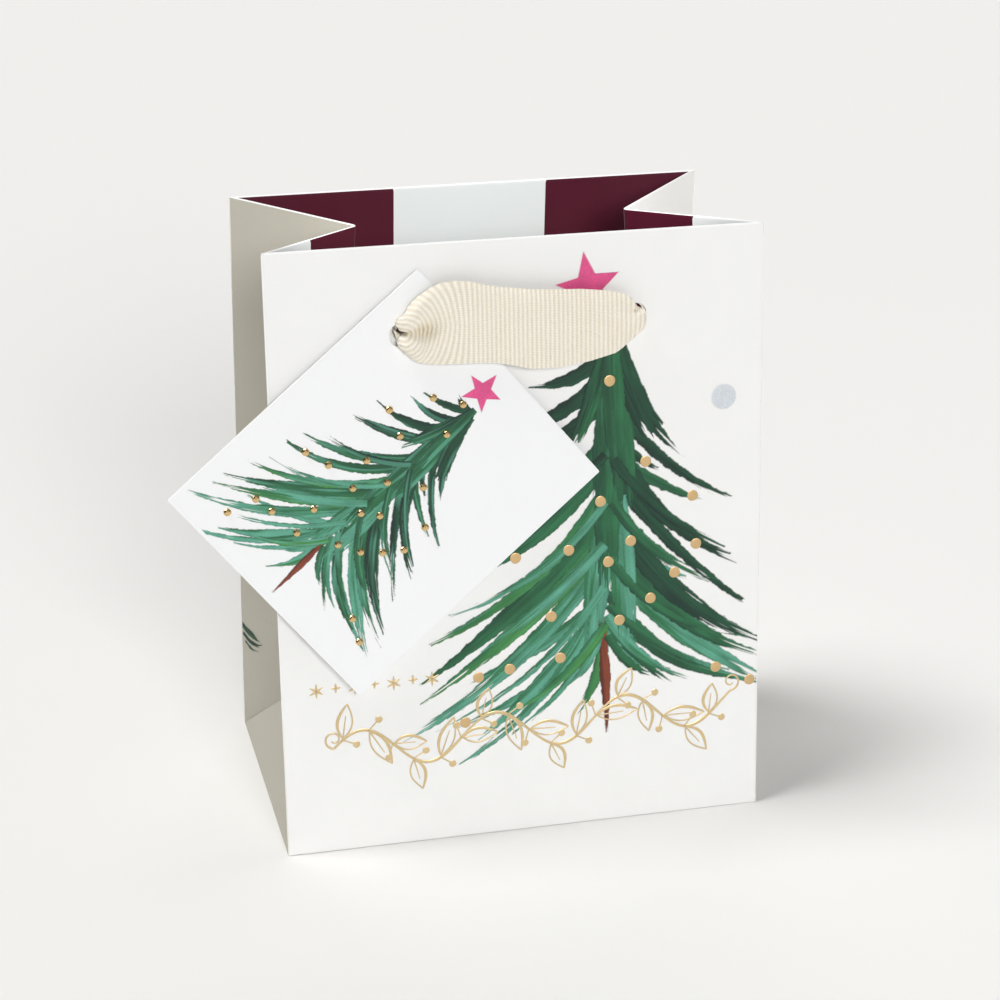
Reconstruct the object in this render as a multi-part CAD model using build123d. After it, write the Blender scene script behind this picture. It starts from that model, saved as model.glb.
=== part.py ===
from build123d import *
import math
import os

# Small gift bag: one folded paper body (front, back, two side gussets, a block
# bottom), a card base board, card strips in the turned-in top hem, two ribbon
# handles knotted inside, and a gift tag on the front handle.
# Millimetres. +Z up, +X right, -Y towards the front. The origin is the centre
# of the underside of the base.

# ---- driving dimensions ------------------------------------------------------
BAG_W = 127.0          # width of the front and back panels
BAG_D = 80.0           # depth of the base
PANEL_L = 158.0        # panel length, bottom crease to top fold
LEAN = 4.2             # lean of the front and back panels, degrees
PAPER = 0.28           # art paper thickness
STIFF = 0.25           # card strip inside the top hem
GLUE = 0.04            # glue line between two layers
HEM_H = 33.0           # height of the turned-in hem
CREASE_H = 38.0        # height of the cross crease on a panel edge
FOOT_IN = 20.0         # how far the foot triangle's tip is pushed in
FOOT_UP = 34.0         # height of the foot triangle's tip
CORNER_GAP = 1.2       # start of a gusset facet behind a panel edge
CREASE_GAP = 0.3       # half gap left along a folded crease

HOLE_X = 30.2          # handle holes, each side of the middle
HOLE_B = 137.0         # handle holes, up the panel
HOLE_R = 2.5
LEG_R = 1.8            # ribbon gathered where it goes through a hole
SPAN_OFF = 2.4         # ribbon's back face in front of the panel
SPAN_T = 1.1           # gathered ribbon's thickness across the front
KNOT_IN = 7.6          # knot's near face behind the panel's front face
KNOT_T = 6.5
KNOT_R = 4.2

TAG_W = 71.0
TAG_H = 83.0
TAG_T = 0.45
TAG_TURN = -50.5       # turn of the hanging tag in its own plane, degrees
TAG_TILT = 1.1         # its lower corner stands off the panel
TAG_OFF = 0.9          # tag's back face in front of the panel, at the hole
TAG_HOLE_R = 3.0
TAG_HOLE_AT = (10.3, 13.4)   # hole from the tag's left and top edges
TAG_DROP = 1.2         # the tag's hole hangs this far below the ribbon's centre
GEM_R = 1.0
GEM_H = 0.6

BOARD_T = 1.0

# ---- frames ------------------------------------------------------------------
th = math.radians(LEAN)
S, C = math.sin(th), math.cos(th)
front_pl = Plane(origin=(0, -BAG_D / 2, 0), x_dir=(1, 0, 0), z_dir=(0, -C, S))
T_H = PAPER
FRONT_STACK = PAPER + STIFF + GLUE * 2 + PAPER


def on_front(shape):
    """From panel coordinates (across, up the panel, out of the panel) to the bag."""
    return shape.moved(front_pl.location)


def slab(x0, x1, y0, y1, z0, z1):
    return Pos((x0 + x1) / 2, (y0 + y1) / 2, (z0 + z1) / 2) * Box(x1 - x0, y1 - y0, z1 - z0)


def prism(points, z0, z1):
    """Flat polygon in the XY plane, from z0 to z1."""
    f = make_face(Polyline(*[(x, y) for x, y in points], close=True))
    return extrude(Pos(0, 0, z0) * f, z1 - z0)


def to_back(shape):
    return mirror(shape, about=Plane.XZ)


def to_left(shape):
    return mirror(shape, about=Plane.YZ)


def closed(points, tris):
    """Solid from points and outward triangles."""
    faces = [Face(Wire.make_polygon([points[i] for i in t], close=True)) for t in tris]
    s = Solid(Shell(faces))
    return s if s.volume > 0 else Solid(Shell([-f for f in faces]))


def inset(pts, dists):
    """Move each edge of a convex polygon (counter-clockwise, 2D) inwards."""
    n = len(pts)
    lines = []
    for i in range(n):
        (ax, ay), (bx, by) = pts[i], pts[(i + 1) % n]
        dx, dy = bx - ax, by - ay
        k = math.hypot(dx, dy)
        nx, ny = -dy / k, dx / k
        lines.append((ax + nx * dists[i], ay + ny * dists[i], dx / k, dy / k))
    out = []
    for i in range(n):
        x1, y1, u1, v1 = lines[i - 1]
        x2, y2, u2, v2 = lines[i]
        det = u1 * -v2 + v1 * u2
        t = ((x2 - x1) * -v2 + (y2 - y1) * u2) / det
        out.append((x1 + u1 * t, y1 + v1 * t))
    return out


def plate(pts, dists, thick, inside=(0, 0, 20)):
    """Thin flat facet. pts are its corners, on its outer face; dists insets each edge."""
    p0, p1, p2 = (Vector(*pts[0]), Vector(*pts[1]), Vector(*pts[2]))
    n = (p1 - p0).cross(p2 - p0).normalized()
    if n.dot(Vector(*inside) - p0) < 0:
        n = n * -1
    xd = (p1 - p0).normalized()
    pl = Plane(origin=p0, x_dir=xd, z_dir=n)
    loc = [pl.to_local_coords(Vector(*p)) for p in pts]
    flat = [(v.X, v.Y) for v in loc]
    area = sum(flat[i][0] * flat[(i + 1) % len(flat)][1] - flat[(i + 1) % len(flat)][0] * flat[i][1] for i in range(len(flat)))
    if area < 0:
        flat = flat[::-1]
        dists = [dists[(len(dists) - 2 - i) % len(dists)] for i in range(len(dists))]
    return prism(inset(flat, dists), 0, thick).moved(pl.location)


# ---- gusset geometry, right front quarter -------------------------------------
def edge(s):
    """Point on the right front corner edge, s up the panel."""
    return Vector(BAG_W / 2, -BAG_D / 2 + s * S, s * C)


cos_top = (1 - 2 * PANEL_L * S / BAG_D) / C
sin_top = math.sqrt(1 - cos_top ** 2)
TIP = Vector(BAG_W / 2 - BAG_D / 2 * sin_top, 0, PANEL_L * C - BAG_D / 2 * cos_top * S)
FOOT = Vector(BAG_W / 2 - FOOT_IN, 0, FOOT_UP)
CORNER = edge(0)
CROSS = edge(CREASE_H)


def row(k):
    """The line across the half gusset, k = 0 at the cross crease and 1 at the top."""
    return CROSS + (edge(PANEL_L) - CROSS) * k, FOOT + (TIP - FOOT) * k


def half_gusset(ks, near, far, off0, off1):
    """Twisted facet between the corner edge and the centre crease."""
    pts = []
    for k in ks:
        a, b = row(k)
        a2, b2 = row(min(1.0, k + 0.01)) if k < 0.995 else row(k - 0.01)
        along = ((a2 + b2) - (a + b)) * (1 if k < 0.995 else -1)
        across = (b - a).normalized()
        n = across.cross(along.normalized()).normalized()
        if n.dot(Vector(0, -20, 80) - (a + b) * 0.5) < 0:
            n = n * -1
        lift = along.normalized() * (CREASE_GAP if k == 0 else 0)
        for off in (off0, off1):
            pts.append(a + across * near + n * off + lift)
            pts.append(b - across * far + n * off + lift)
    tris = []
    m = len(ks)
    for i in range(m - 1):
        p, q = 4 * i, 4 * i + 4
        tris += [(p, p + 1, q + 1), (p, q + 1, q)]
        tris += [(p + 2, q + 3, p + 3), (p + 2, q + 2, q + 3)]
        tris += [(p, q, q + 2), (p, q + 2, p + 2)]
        tris += [(p + 1, q + 3, q + 1), (p + 1, p + 3, q + 3)]
    e = 4 * (m - 1)
    tris += [(0, 3, 1), (0, 2, 3), (e, e + 1, e + 3), (e, e + 3, e + 2)]
    return closed(pts, tris)


k_hem = (PANEL_L - HEM_H - CREASE_H) / (PANEL_L - CREASE_H)
lower_ks = [k_hem * i / 6 for i in range(7)]
hem_ks = [k_hem + (1 - k_hem) * i / 3 for i in range(4)]

parts = {}

# ---- paper body: front and back ------------------------------------------------
hole_tool = [Pos(x, HOLE_B, -2) * Cylinder(HOLE_R, 8) for x in (-HOLE_X, HOLE_X)]


def punched(shape):
    for h in hole_tool:
        shape = shape - h
    return shape


z_st = -PAPER - GLUE
z_hem = z_st - STIFF - GLUE
front = punched(slab(-BAG_W / 2, BAG_W / 2, 0.4, PANEL_L, -PAPER, 0))
stiffener = punched(slab(-BAG_W / 2 + 3.4, BAG_W / 2 - 3.4, PANEL_L - 30, PANEL_L - 0.6, z_st - STIFF, z_st))
hem = punched(slab(-BAG_W / 2 + 2.8, BAG_W / 2 - 2.8, PANEL_L - HEM_H, PANEL_L, z_hem - PAPER, z_hem))
hem = hem + slab(-BAG_W / 2 + 2.8, BAG_W / 2 - 2.8, PANEL_L - 0.3, PANEL_L, z_hem, -PAPER - 0.01)
parts["front_panel"] = on_front(front)
parts["front_top_stiffener"] = on_front(stiffener)
parts["front_hem"] = on_front(hem)
parts["back_panel"] = to_back(parts["front_panel"])
parts["back_top_stiffener"] = to_back(parts["front_top_stiffener"])
parts["back_hem"] = to_back(parts["front_hem"])

# glue tab that closes the body, inside the back panel's left edge
tab = slab(-BAG_W / 2 + 2.8, -BAG_W / 2 + 16, 2.2, PANEL_L - HEM_H - 1, -PAPER - GLUE - PAPER, -PAPER - GLUE)
parts["side_seam_tab"] = to_back(on_front(tab))

# ---- paper body: side gussets, one quarter and its mirrors ----------------------
quarter = {
    "gusset": half_gusset(lower_ks + hem_ks[1:], CORNER_GAP, CREASE_GAP, 0, PAPER),
    "gusset_hem": half_gusset(hem_ks, 2.0, CREASE_GAP, PAPER + GLUE, 2 * PAPER + GLUE),
    "flank": plate([tuple(CORNER), tuple(FOOT), tuple(CROSS)], [CREASE_GAP, CREASE_GAP, CORNER_GAP], PAPER),
}
for piece, shape in quarter.items():
    parts["right_front_" + piece] = shape
    parts["left_front_" + piece] = to_left(shape)
    parts["right_back_" + piece] = to_back(shape)
    parts["left_back_" + piece] = to_back(to_left(shape))
foot = plate([(BAG_W / 2, -BAG_D / 2, 0), (BAG_W / 2, BAG_D / 2, 0), tuple(FOOT)], [0.6, CREASE_GAP + 0.1, CREASE_GAP + 0.1], PAPER)
parts["right_foot_fold"] = foot
parts["left_foot_fold"] = to_left(foot)

# ---- block bottom ---------------------------------------------------------------
bx, by = BAG_W / 2 - 1.1, BAG_D / 2 - 0.5
mitre = 39.0
back_flap = prism([(-bx, by), (-bx + mitre, by - mitre), (-bx + mitre, -8.5), (bx - mitre, -8.5), (bx - mitre, by - mitre), (bx, by)], 0, PAPER)
front_low = prism([(-bx, -by), (bx, -by), (bx - by + 9.2, -9.2), (-bx + by - 9.2, -9.2)], 0, PAPER)
front_high = prism([(-bx + by - 9.2 - 0.9, -9.9), (bx - by + 9.2 + 0.9, -9.9), (bx - mitre, -1), (bx - mitre, 8.0), (-bx + mitre, 8.0), (-bx + mitre, -1)], PAPER, 2 * PAPER)
parts["base_back_flap"] = back_flap
parts["base_front_flap"] = front_low + front_high
side = prism([(bx, -by), (bx, by), (bx - mitre + 3.0, by - 6.0), (bx - mitre + 3.0, -by + 6.0)], PAPER, 2 * PAPER) - front_high
parts["base_right_flap"] = side
parts["base_left_flap"] = to_left(side)
board = slab(-BAG_W / 2 + 2.4, BAG_W / 2 - 2.4, -BAG_D / 2 + 1.2, BAG_D / 2 - 1.2, 2 * PAPER, 2 * PAPER + BOARD_T)
parts["base_board"] = fillet(board.edges().filter_by(Axis.Z), 2.0)

# ---- ribbon handles --------------------------------------------------------------
span = [(-32.0, 135.6), (-28.0, 131.0), (-21.0, 128.6), (-6.0, 127.3), (2.0, 125.6), (17.0, 126.4), (24.0, 128.6), (29.0, 132.6), (32.3, 135.2), (32.3, 139.3), (28.4, 141.5), (22.5, 143.7), (5.0, 145.6), (-6.0, 146.6), (-13.0, 148.2), (-20.5, 148.2), (-29.4, 141.2), (-32.0, 139.2)]
ribbon = prism(span, SPAN_OFF, SPAN_OFF + SPAN_T)
knots = []
for x in (-HOLE_X, HOLE_X):
    ribbon = ribbon + Pos(x, HOLE_B, (SPAN_OFF + 0.5 - KNOT_IN) / 2) * Cylinder(LEG_R, SPAN_OFF + 0.5 + KNOT_IN)
    k = Pos(x, HOLE_B, -KNOT_IN - KNOT_T / 2) * Cylinder(KNOT_R, KNOT_T)
    knots.append(fillet(k.edges(), 1.9))
parts["front_handle_ribbon"] = on_front(ribbon)
parts["front_handle_knots"] = on_front(Compound(children=knots))
parts["back_handle_ribbon"] = to_back(parts["front_handle_ribbon"])
parts["back_handle_knots"] = to_back(parts["front_handle_knots"])

# ---- gift tag -----------------------------------------------------------------
# Tag coordinates: x from its left edge, y down from its top edge as a negative
# number, z out of its face, with the hole's centre at the origin.
hx, hy = TAG_HOLE_AT
tag = slab(-hx, TAG_W - hx, hy - TAG_H, hy, 0, TAG_T)
tag = fillet(tag.edges().filter_by(Axis.Z), 0.6) - Cylinder(TAG_HOLE_R, 5)
gem_at = [
    (26.8, 64.6), (33.3, 68.9), (21.4, 54.6), (28.2, 52.2), (36.1, 60.9), (14.8, 32.5), (21.2, 34.4),
    (27.0, 42.0), (34.8, 42.0), (29.8, 34.8), (42.1, 47.7), (14.9, 15.8), (20.0, 16.5), (12.5, 8.5),
    (26.9, 24.3), (36.0, 32.0), (39.8, 35.0), (50.1, 41.2), (28.4, 17.2), (37.9, 22.5), (43.3, 25.3),
    (47.4, 29.2), (50.7, 33.5), (54.7, 12.3), (60.4, 9.5),
]
gems = []
for gx, gy in gem_at:
    g = Pos(gx - hx, gy - TAG_H + hy, TAG_T) * Cone(GEM_R, GEM_R * 0.45, GEM_H, align=(Align.CENTER, Align.CENTER, Align.MIN))
    gems.append(g)
tag_pl = Plane(front_pl.location * Pos(-HOLE_X, HOLE_B, TAG_OFF) * Rot(-TAG_TILT, 0, 0))
tag_place = tag_pl.location * Pos(0, -TAG_DROP, 0) * Rot(0, 0, TAG_TURN)
parts["gift_tag"] = tag.moved(tag_place)
parts["tag_gold_dots"] = Compound(children=[g.moved(tag_place) for g in gems])

os.makedirs("parts", exist_ok=True)
for name, shape in parts.items():
    export_step(shape, f"parts/{name}.step")

print("gusset tip", tuple(round(v, 3) for v in TIP), "foot tip", tuple(FOOT))
print("panel edge direction", (0, round(S, 6), round(C, 6)), "out of the panel", (0, round(-C, 6), round(S, 6)))
o = tag_pl
print("tag hinge", tuple(round(v, 3) for v in o.origin), tuple(round(v, 6) for v in o.z_dir))
print(len(parts), "nodes")
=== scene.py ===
# Looks of the small gift bag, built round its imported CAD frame. Metres in the scene; helper
# functions work in millimetres. +Z up, -Y towards the front panel, origin under the base.
import bpy
import math
import numpy as np
from mathutils import Vector, Matrix
from mathutils.geometry import delaunay_2d_cdt


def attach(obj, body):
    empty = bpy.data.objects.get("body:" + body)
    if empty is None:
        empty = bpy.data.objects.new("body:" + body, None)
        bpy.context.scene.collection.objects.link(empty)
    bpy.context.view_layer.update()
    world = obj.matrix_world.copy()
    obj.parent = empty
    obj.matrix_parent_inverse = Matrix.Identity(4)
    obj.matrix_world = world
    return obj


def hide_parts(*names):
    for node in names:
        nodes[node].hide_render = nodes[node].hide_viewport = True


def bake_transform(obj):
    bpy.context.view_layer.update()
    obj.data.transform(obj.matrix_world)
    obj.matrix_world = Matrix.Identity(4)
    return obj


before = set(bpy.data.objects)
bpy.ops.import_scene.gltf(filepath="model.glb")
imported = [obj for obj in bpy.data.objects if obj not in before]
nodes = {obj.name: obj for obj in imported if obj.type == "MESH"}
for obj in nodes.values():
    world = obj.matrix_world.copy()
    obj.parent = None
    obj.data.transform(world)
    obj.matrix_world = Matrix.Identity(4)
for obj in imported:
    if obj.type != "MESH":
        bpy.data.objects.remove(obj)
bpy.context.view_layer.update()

# ---------------------------------------------------------------- dimensions, mm
LEAN = math.radians(4.2)
S, C = math.sin(LEAN), math.cos(LEAN)
HW, HD, PL = 63.5, 40.0, 158.0
T = 0.28
CREASE, FOOT_IN, FOOT_UP = 38.0, 20.0, 34.0
HOLE_X, HOLE_B, HOLE_R = 30.2, 137.0, 2.5
HEM_H = 33.0


def srgb(r, g, b):
    """Linear colour from 0 to 255 display values."""
    out = []
    for c in (r, g, b):
        c = c / 255.0
        out.append(c / 12.92 if c <= 0.04045 else ((c + 0.055) / 1.055) ** 2.4)
    return tuple(out)


# ---------------------------------------------------------------- noise tables
_rng = np.random.RandomState(11)
_TAB = _rng.rand(256, 256)


def noise2(x, y):
    x = np.asarray(x, float)
    y = np.asarray(y, float)
    xi, yi = np.floor(x).astype(int), np.floor(y).astype(int)
    fx, fy = x - xi, y - yi
    fx, fy = fx * fx * (3 - 2 * fx), fy * fy * (3 - 2 * fy)
    a = _TAB[xi % 256, yi % 256]
    b = _TAB[(xi + 1) % 256, yi % 256]
    c = _TAB[xi % 256, (yi + 1) % 256]
    d = _TAB[(xi + 1) % 256, (yi + 1) % 256]
    return (a * (1 - fx) + b * fx) * (1 - fy) + (c * (1 - fx) + d * fx) * fy


# ---------------------------------------------------------------- materials
def new_mat(name):
    m = bpy.data.materials.new(name)
    m.use_nodes = True
    nt = m.node_tree
    bsdf = nt.nodes["Principled BSDF"]
    return m, nt, bsdf


def node(nt, kind, **props):
    n = nt.nodes.new(kind)
    for k, v in props.items():
        setattr(n, k, v)
    return n


def link(nt, a, b):
    nt.links.new(a, b)


def mix_rgb(nt, blend="MIX"):
    n = nt.nodes.new("ShaderNodeMix")
    n.data_type = "RGBA"
    n.blend_type = blend
    return n  # inputs 0 factor, 6 A, 7 B, output 2


def set_in(n, names, v):
    for nm in (names if isinstance(names, (list, tuple)) else [names]):
        if nm in n.inputs:
            n.inputs[nm].default_value = v
            return


def paper_bump(nt, bsdf, tc, grain=0.35, strength=0.22, linen=0.5):
    """Fine felt-marked art paper: fibres and a faint woven felt mark."""
    fib = node(nt, "ShaderNodeTexNoise")
    fib.inputs["Scale"].default_value = 1000.0 / grain
    fib.inputs["Detail"].default_value = 3.0
    link(nt, tc.outputs["Object"], fib.inputs["Vector"])
    mapa = node(nt, "ShaderNodeMapping")
    link(nt, tc.outputs["Object"], mapa.inputs["Vector"])
    wav = node(nt, "ShaderNodeTexWave", wave_type="BANDS", bands_direction="Z")
    wav.inputs["Scale"].default_value = 314.0 / 0.62
    wav.inputs["Distortion"].default_value = 1.2
    wav.inputs["Detail"].default_value = 1.0
    wav.inputs["Detail Scale"].default_value = 3.0
    link(nt, mapa.outputs["Vector"], wav.inputs["Vector"])
    wav2 = node(nt, "ShaderNodeTexWave", wave_type="BANDS", bands_direction="X")
    wav2.inputs["Scale"].default_value = 314.0 / 0.66
    wav2.inputs["Distortion"].default_value = 1.2
    wav2.inputs["Detail"].default_value = 1.0
    wav2.inputs["Detail Scale"].default_value = 3.0
    link(nt, mapa.outputs["Vector"], wav2.inputs["Vector"])
    add = node(nt, "ShaderNodeMath", operation="ADD")
    link(nt, wav.outputs["Fac"], add.inputs[0])
    link(nt, wav2.outputs["Fac"], add.inputs[1])
    mul = node(nt, "ShaderNodeMath", operation="MULTIPLY_ADD")
    link(nt, add.outputs[0], mul.inputs[0])
    mul.inputs[1].default_value = linen * 0.5
    link(nt, fib.outputs["Fac"], mul.inputs[2])
    bump = node(nt, "ShaderNodeBump")
    bump.inputs["Strength"].default_value = strength
    bump.inputs["Distance"].default_value = 0.00004
    link(nt, mul.outputs[0], bump.inputs["Height"])
    link(nt, bump.outputs["Normal"], bsdf.inputs["Normal"])
    return fib, bump, mul


def paper_material(name, colour, inked=False, rough=0.5, mottle=0.02, strength=0.22, warm=None, spec=0.35, grainy=0.02):
    m, nt, bsdf = new_mat(name)
    tc = node(nt, "ShaderNodeTexCoord")
    fib, bump, weave = paper_bump(nt, bsdf, tc, strength=strength)
    soft = node(nt, "ShaderNodeTexNoise")
    soft.inputs["Scale"].default_value = 70.0
    soft.inputs["Detail"].default_value = 5.0
    link(nt, tc.outputs["Object"], soft.inputs["Vector"])
    mx = mix_rgb(nt)
    lo = tuple(c * (1 - mottle * 2) for c in (warm or colour))
    mx.inputs[6].default_value = (*lo, 1)
    mx.inputs[7].default_value = (*colour, 1)
    link(nt, soft.outputs["Fac"], mx.inputs[0])
    felt = mix_rgb(nt, "MULTIPLY")
    felt.inputs[0].default_value = 1.0
    link(nt, mx.outputs[2], felt.inputs[6])
    fr = node(nt, "ShaderNodeMapRange")
    fr.inputs["From Min"].default_value = 0.3
    fr.inputs["From Max"].default_value = 1.3
    fr.inputs["To Min"].default_value = 1.0 - grainy
    fr.inputs["To Max"].default_value = 1.0 + grainy * 0.6
    link(nt, weave.outputs[0], fr.inputs["Value"])
    fc = node(nt, "ShaderNodeCombineColor")
    for i in range(3):
        link(nt, fr.outputs["Result"], fc.inputs[i])
    link(nt, fc.outputs["Color"], felt.inputs[7])
    out = felt.outputs[2]
    if inked:
        att = node(nt, "ShaderNodeAttribute", attribute_name="ink")
        over = mix_rgb(nt)
        link(nt, att.outputs["Alpha"], over.inputs[0])
        link(nt, out, over.inputs[6])
        speck = mix_rgb(nt, "MULTIPLY")
        speck.inputs[0].default_value = 1.0
        link(nt, att.outputs["Color"], speck.inputs[6])
        rampv = node(nt, "ShaderNodeMapRange")
        rampv.inputs["From Min"].default_value = 0.3
        rampv.inputs["From Max"].default_value = 0.7
        rampv.inputs["To Min"].default_value = 0.88
        rampv.inputs["To Max"].default_value = 1.1
        link(nt, fib.outputs["Fac"], rampv.inputs["Value"])
        comb = node(nt, "ShaderNodeCombineColor")
        for i in range(3):
            link(nt, rampv.outputs["Result"], comb.inputs[i])
        link(nt, comb.outputs["Color"], speck.inputs[7])
        link(nt, speck.outputs[2], over.inputs[7])
        out = over.outputs[2]
    link(nt, out, bsdf.inputs["Base Color"])
    rr = node(nt, "ShaderNodeMapRange")
    rr.inputs["To Min"].default_value = rough - 0.06
    rr.inputs["To Max"].default_value = rough + 0.08
    link(nt, soft.outputs["Fac"], rr.inputs["Value"])
    link(nt, rr.outputs["Result"], bsdf.inputs["Roughness"])
    set_in(bsdf, ["Specular IOR Level", "Specular"], spec)
    return m


WHITE = srgb(246, 246, 245)
m_paper = paper_material("art_paper_outside", WHITE, rough=0.5)
m_ink = paper_material("art_paper_printed", WHITE, inked=True, rough=0.46)
m_inner = paper_material("art_paper_inside", srgb(236, 233, 226), rough=0.62, mottle=0.03)
# painted shade: the left side's paper is the white art paper darkened to a grey beige, standing in for shade on the
# left gusset halves, flanks and foot fold; the right side keeps the paper's own white
m_left_side_painted_shade = paper_material("painted_shade_side_paper", srgb(197, 193, 180), rough=0.55, mottle=0.03, strength=0.3, grainy=0.05)
m_side_r = paper_material("art_paper_side_right", srgb(244, 243, 240), rough=0.55, mottle=0.02, strength=0.3, grainy=0.04)
m_maroon = paper_material("maroon_stripe_print", srgb(87, 21, 43), rough=0.5, mottle=0.06, spec=0.3, grainy=0.10)
m_pale = paper_material("pale_stripe_print", srgb(244, 249, 248), rough=0.5, mottle=0.01)
m_card = paper_material("grey_white_card", srgb(226, 224, 216), rough=0.72, mottle=0.05, strength=0.4)
# painted shade: the same darkened left-side paper, under the print that runs round the back-left corner
m_left_side_printed_painted_shade = paper_material("painted_shade_side_paper_printed", srgb(197, 193, 180), inked=True, rough=0.5, mottle=0.03, strength=0.3)
m_side_ink_r = paper_material("art_paper_side_right_printed", srgb(244, 243, 240), inked=True, rough=0.5, mottle=0.02, strength=0.3)
m_tag = paper_material("tag_card_face", srgb(246, 247, 248), rough=0.45, mottle=0.01, strength=0.15)
m_tag_ink = paper_material("tag_card_printed", srgb(246, 247, 248), inked=True, rough=0.42, mottle=0.01, strength=0.15)
m_edge = paper_material("cut_paper_edge", srgb(240, 238, 232), rough=0.8, mottle=0.05, strength=0.5)


def foil_material(name, colour, rough, bump_s=0.25, scale=900.0):
    m, nt, bsdf = new_mat(name)
    tc = node(nt, "ShaderNodeTexCoord")
    n1 = node(nt, "ShaderNodeTexNoise")
    n1.inputs["Scale"].default_value = scale
    n1.inputs["Detail"].default_value = 3.0
    link(nt, tc.outputs["Object"], n1.inputs["Vector"])
    mx = mix_rgb(nt)
    mx.inputs[6].default_value = (*[c * 0.82 for c in colour], 1)
    mx.inputs[7].default_value = (*colour, 1)
    link(nt, n1.outputs["Fac"], mx.inputs[0])
    link(nt, mx.outputs[2], bsdf.inputs["Base Color"])
    bsdf.inputs["Metallic"].default_value = 1.0
    rr = node(nt, "ShaderNodeMapRange")
    rr.inputs["To Min"].default_value = rough - 0.06
    rr.inputs["To Max"].default_value = rough + 0.1
    link(nt, n1.outputs["Fac"], rr.inputs["Value"])
    link(nt, rr.outputs["Result"], bsdf.inputs["Roughness"])
    bump = node(nt, "ShaderNodeBump")
    bump.inputs["Strength"].default_value = bump_s
    bump.inputs["Distance"].default_value = 0.00005
    link(nt, n1.outputs["Fac"], bump.inputs["Height"])
    link(nt, bump.outputs["Normal"], bsdf.inputs["Normal"])
    return m


m_foil = foil_material("gold_foil_line", srgb(228, 204, 158), 0.34)
m_foil_dot = foil_material("gold_foil_dot", srgb(218, 186, 138), 0.42)
m_gem = foil_material("gold_dome_dot", srgb(230, 198, 142), 0.18, bump_s=0.1, scale=2500.0)


def ribbon_material():
    m, nt, bsdf = new_mat("grosgrain_ribbon")
    tc = node(nt, "ShaderNodeTexCoord")
    uv = node(nt, "ShaderNodeUVMap", uv_map="mm")
    rib = node(nt, "ShaderNodeAttribute", attribute_name="rib")
    thr = node(nt, "ShaderNodeTexWave", wave_type="BANDS", bands_direction="Y")
    thr.inputs["Scale"].default_value = 0.314 / 0.42
    thr.inputs["Distortion"].default_value = 0.6
    link(nt, uv.outputs["UV"], thr.inputs["Vector"])
    fine = node(nt, "ShaderNodeTexNoise")
    fine.inputs["Scale"].default_value = 2600.0
    fine.inputs["Detail"].default_value = 3.0
    link(nt, tc.outputs["Object"], fine.inputs["Vector"])
    big = node(nt, "ShaderNodeTexNoise")
    big.inputs["Scale"].default_value = 160.0
    link(nt, tc.outputs["Object"], big.inputs["Vector"])
    # painted shade: the rib attribute makes the grooves between ribs darker cream and the crests a lighter cream
    c1 = mix_rgb(nt)
    c1.inputs[6].default_value = (*srgb(230, 221, 201), 1)
    c1.inputs[7].default_value = (*srgb(252, 248, 238), 1)
    # painted shade: where the rib attribute drops below zero, in the end dimple and slits, the cream darkens towards a
    # brown shade
    hollow_shade_ramp = node(nt, "ShaderNodeMapRange")
    hollow_shade_ramp.inputs["From Min"].default_value = -1.0
    hollow_shade_ramp.inputs["From Max"].default_value = 0.0
    link(nt, rib.outputs["Fac"], hollow_shade_ramp.inputs["Value"])
    c0 = mix_rgb(nt)
    c0.inputs[6].default_value = (*srgb(168, 148, 112), 1)
    c0.inputs[7].default_value = (*srgb(230, 221, 201), 1)
    link(nt, hollow_shade_ramp.outputs["Result"], c0.inputs[0])
    link(nt, c0.outputs[2], c1.inputs[6])
    link(nt, rib.outputs["Fac"], c1.inputs[0])
    c2 = mix_rgb(nt, "MULTIPLY")
    c2.inputs[0].default_value = 1.0
    link(nt, c1.outputs[2], c2.inputs[6])
    mr = node(nt, "ShaderNodeMapRange")
    mr.inputs["From Min"].default_value = 0.25
    mr.inputs["From Max"].default_value = 0.75
    mr.inputs["To Min"].default_value = 0.86
    mr.inputs["To Max"].default_value = 1.06
    ad = node(nt, "ShaderNodeMath", operation="MULTIPLY_ADD")
    link(nt, thr.outputs["Fac"], ad.inputs[0])
    ad.inputs[1].default_value = 0.35
    mm = node(nt, "ShaderNodeMath", operation="MULTIPLY")
    link(nt, fine.outputs["Fac"], mm.inputs[0])
    mm.inputs[1].default_value = 0.65
    link(nt, mm.outputs[0], ad.inputs[2])
    link(nt, ad.outputs[0], mr.inputs["Value"])
    comb = node(nt, "ShaderNodeCombineColor")
    for i in range(3):
        link(nt, mr.outputs["Result"], comb.inputs[i])
    link(nt, comb.outputs["Color"], c2.inputs[7])
    c3 = mix_rgb(nt, "MULTIPLY")
    link(nt, big.outputs["Fac"], c3.inputs[0])
    link(nt, c2.outputs[2], c3.inputs[6])
    c3.inputs[7].default_value = (0.97, 0.95, 0.92, 1)
    link(nt, c3.outputs[2], bsdf.inputs["Base Color"])
    bump = node(nt, "ShaderNodeBump")
    bump.inputs["Strength"].default_value = 0.5
    bump.inputs["Distance"].default_value = 0.00006
    link(nt, ad.outputs[0], bump.inputs["Height"])
    link(nt, bump.outputs["Normal"], bsdf.inputs["Normal"])
    bsdf.inputs["Roughness"].default_value = 0.72
    set_in(bsdf, ["Sheen Weight"], 0.25)
    set_in(bsdf, ["Sheen Roughness"], 0.4)
    set_in(bsdf, ["Specular IOR Level", "Specular"], 0.25)
    return m


m_ribbon = ribbon_material()

# ---------------------------------------------------------------- mesh helpers


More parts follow.
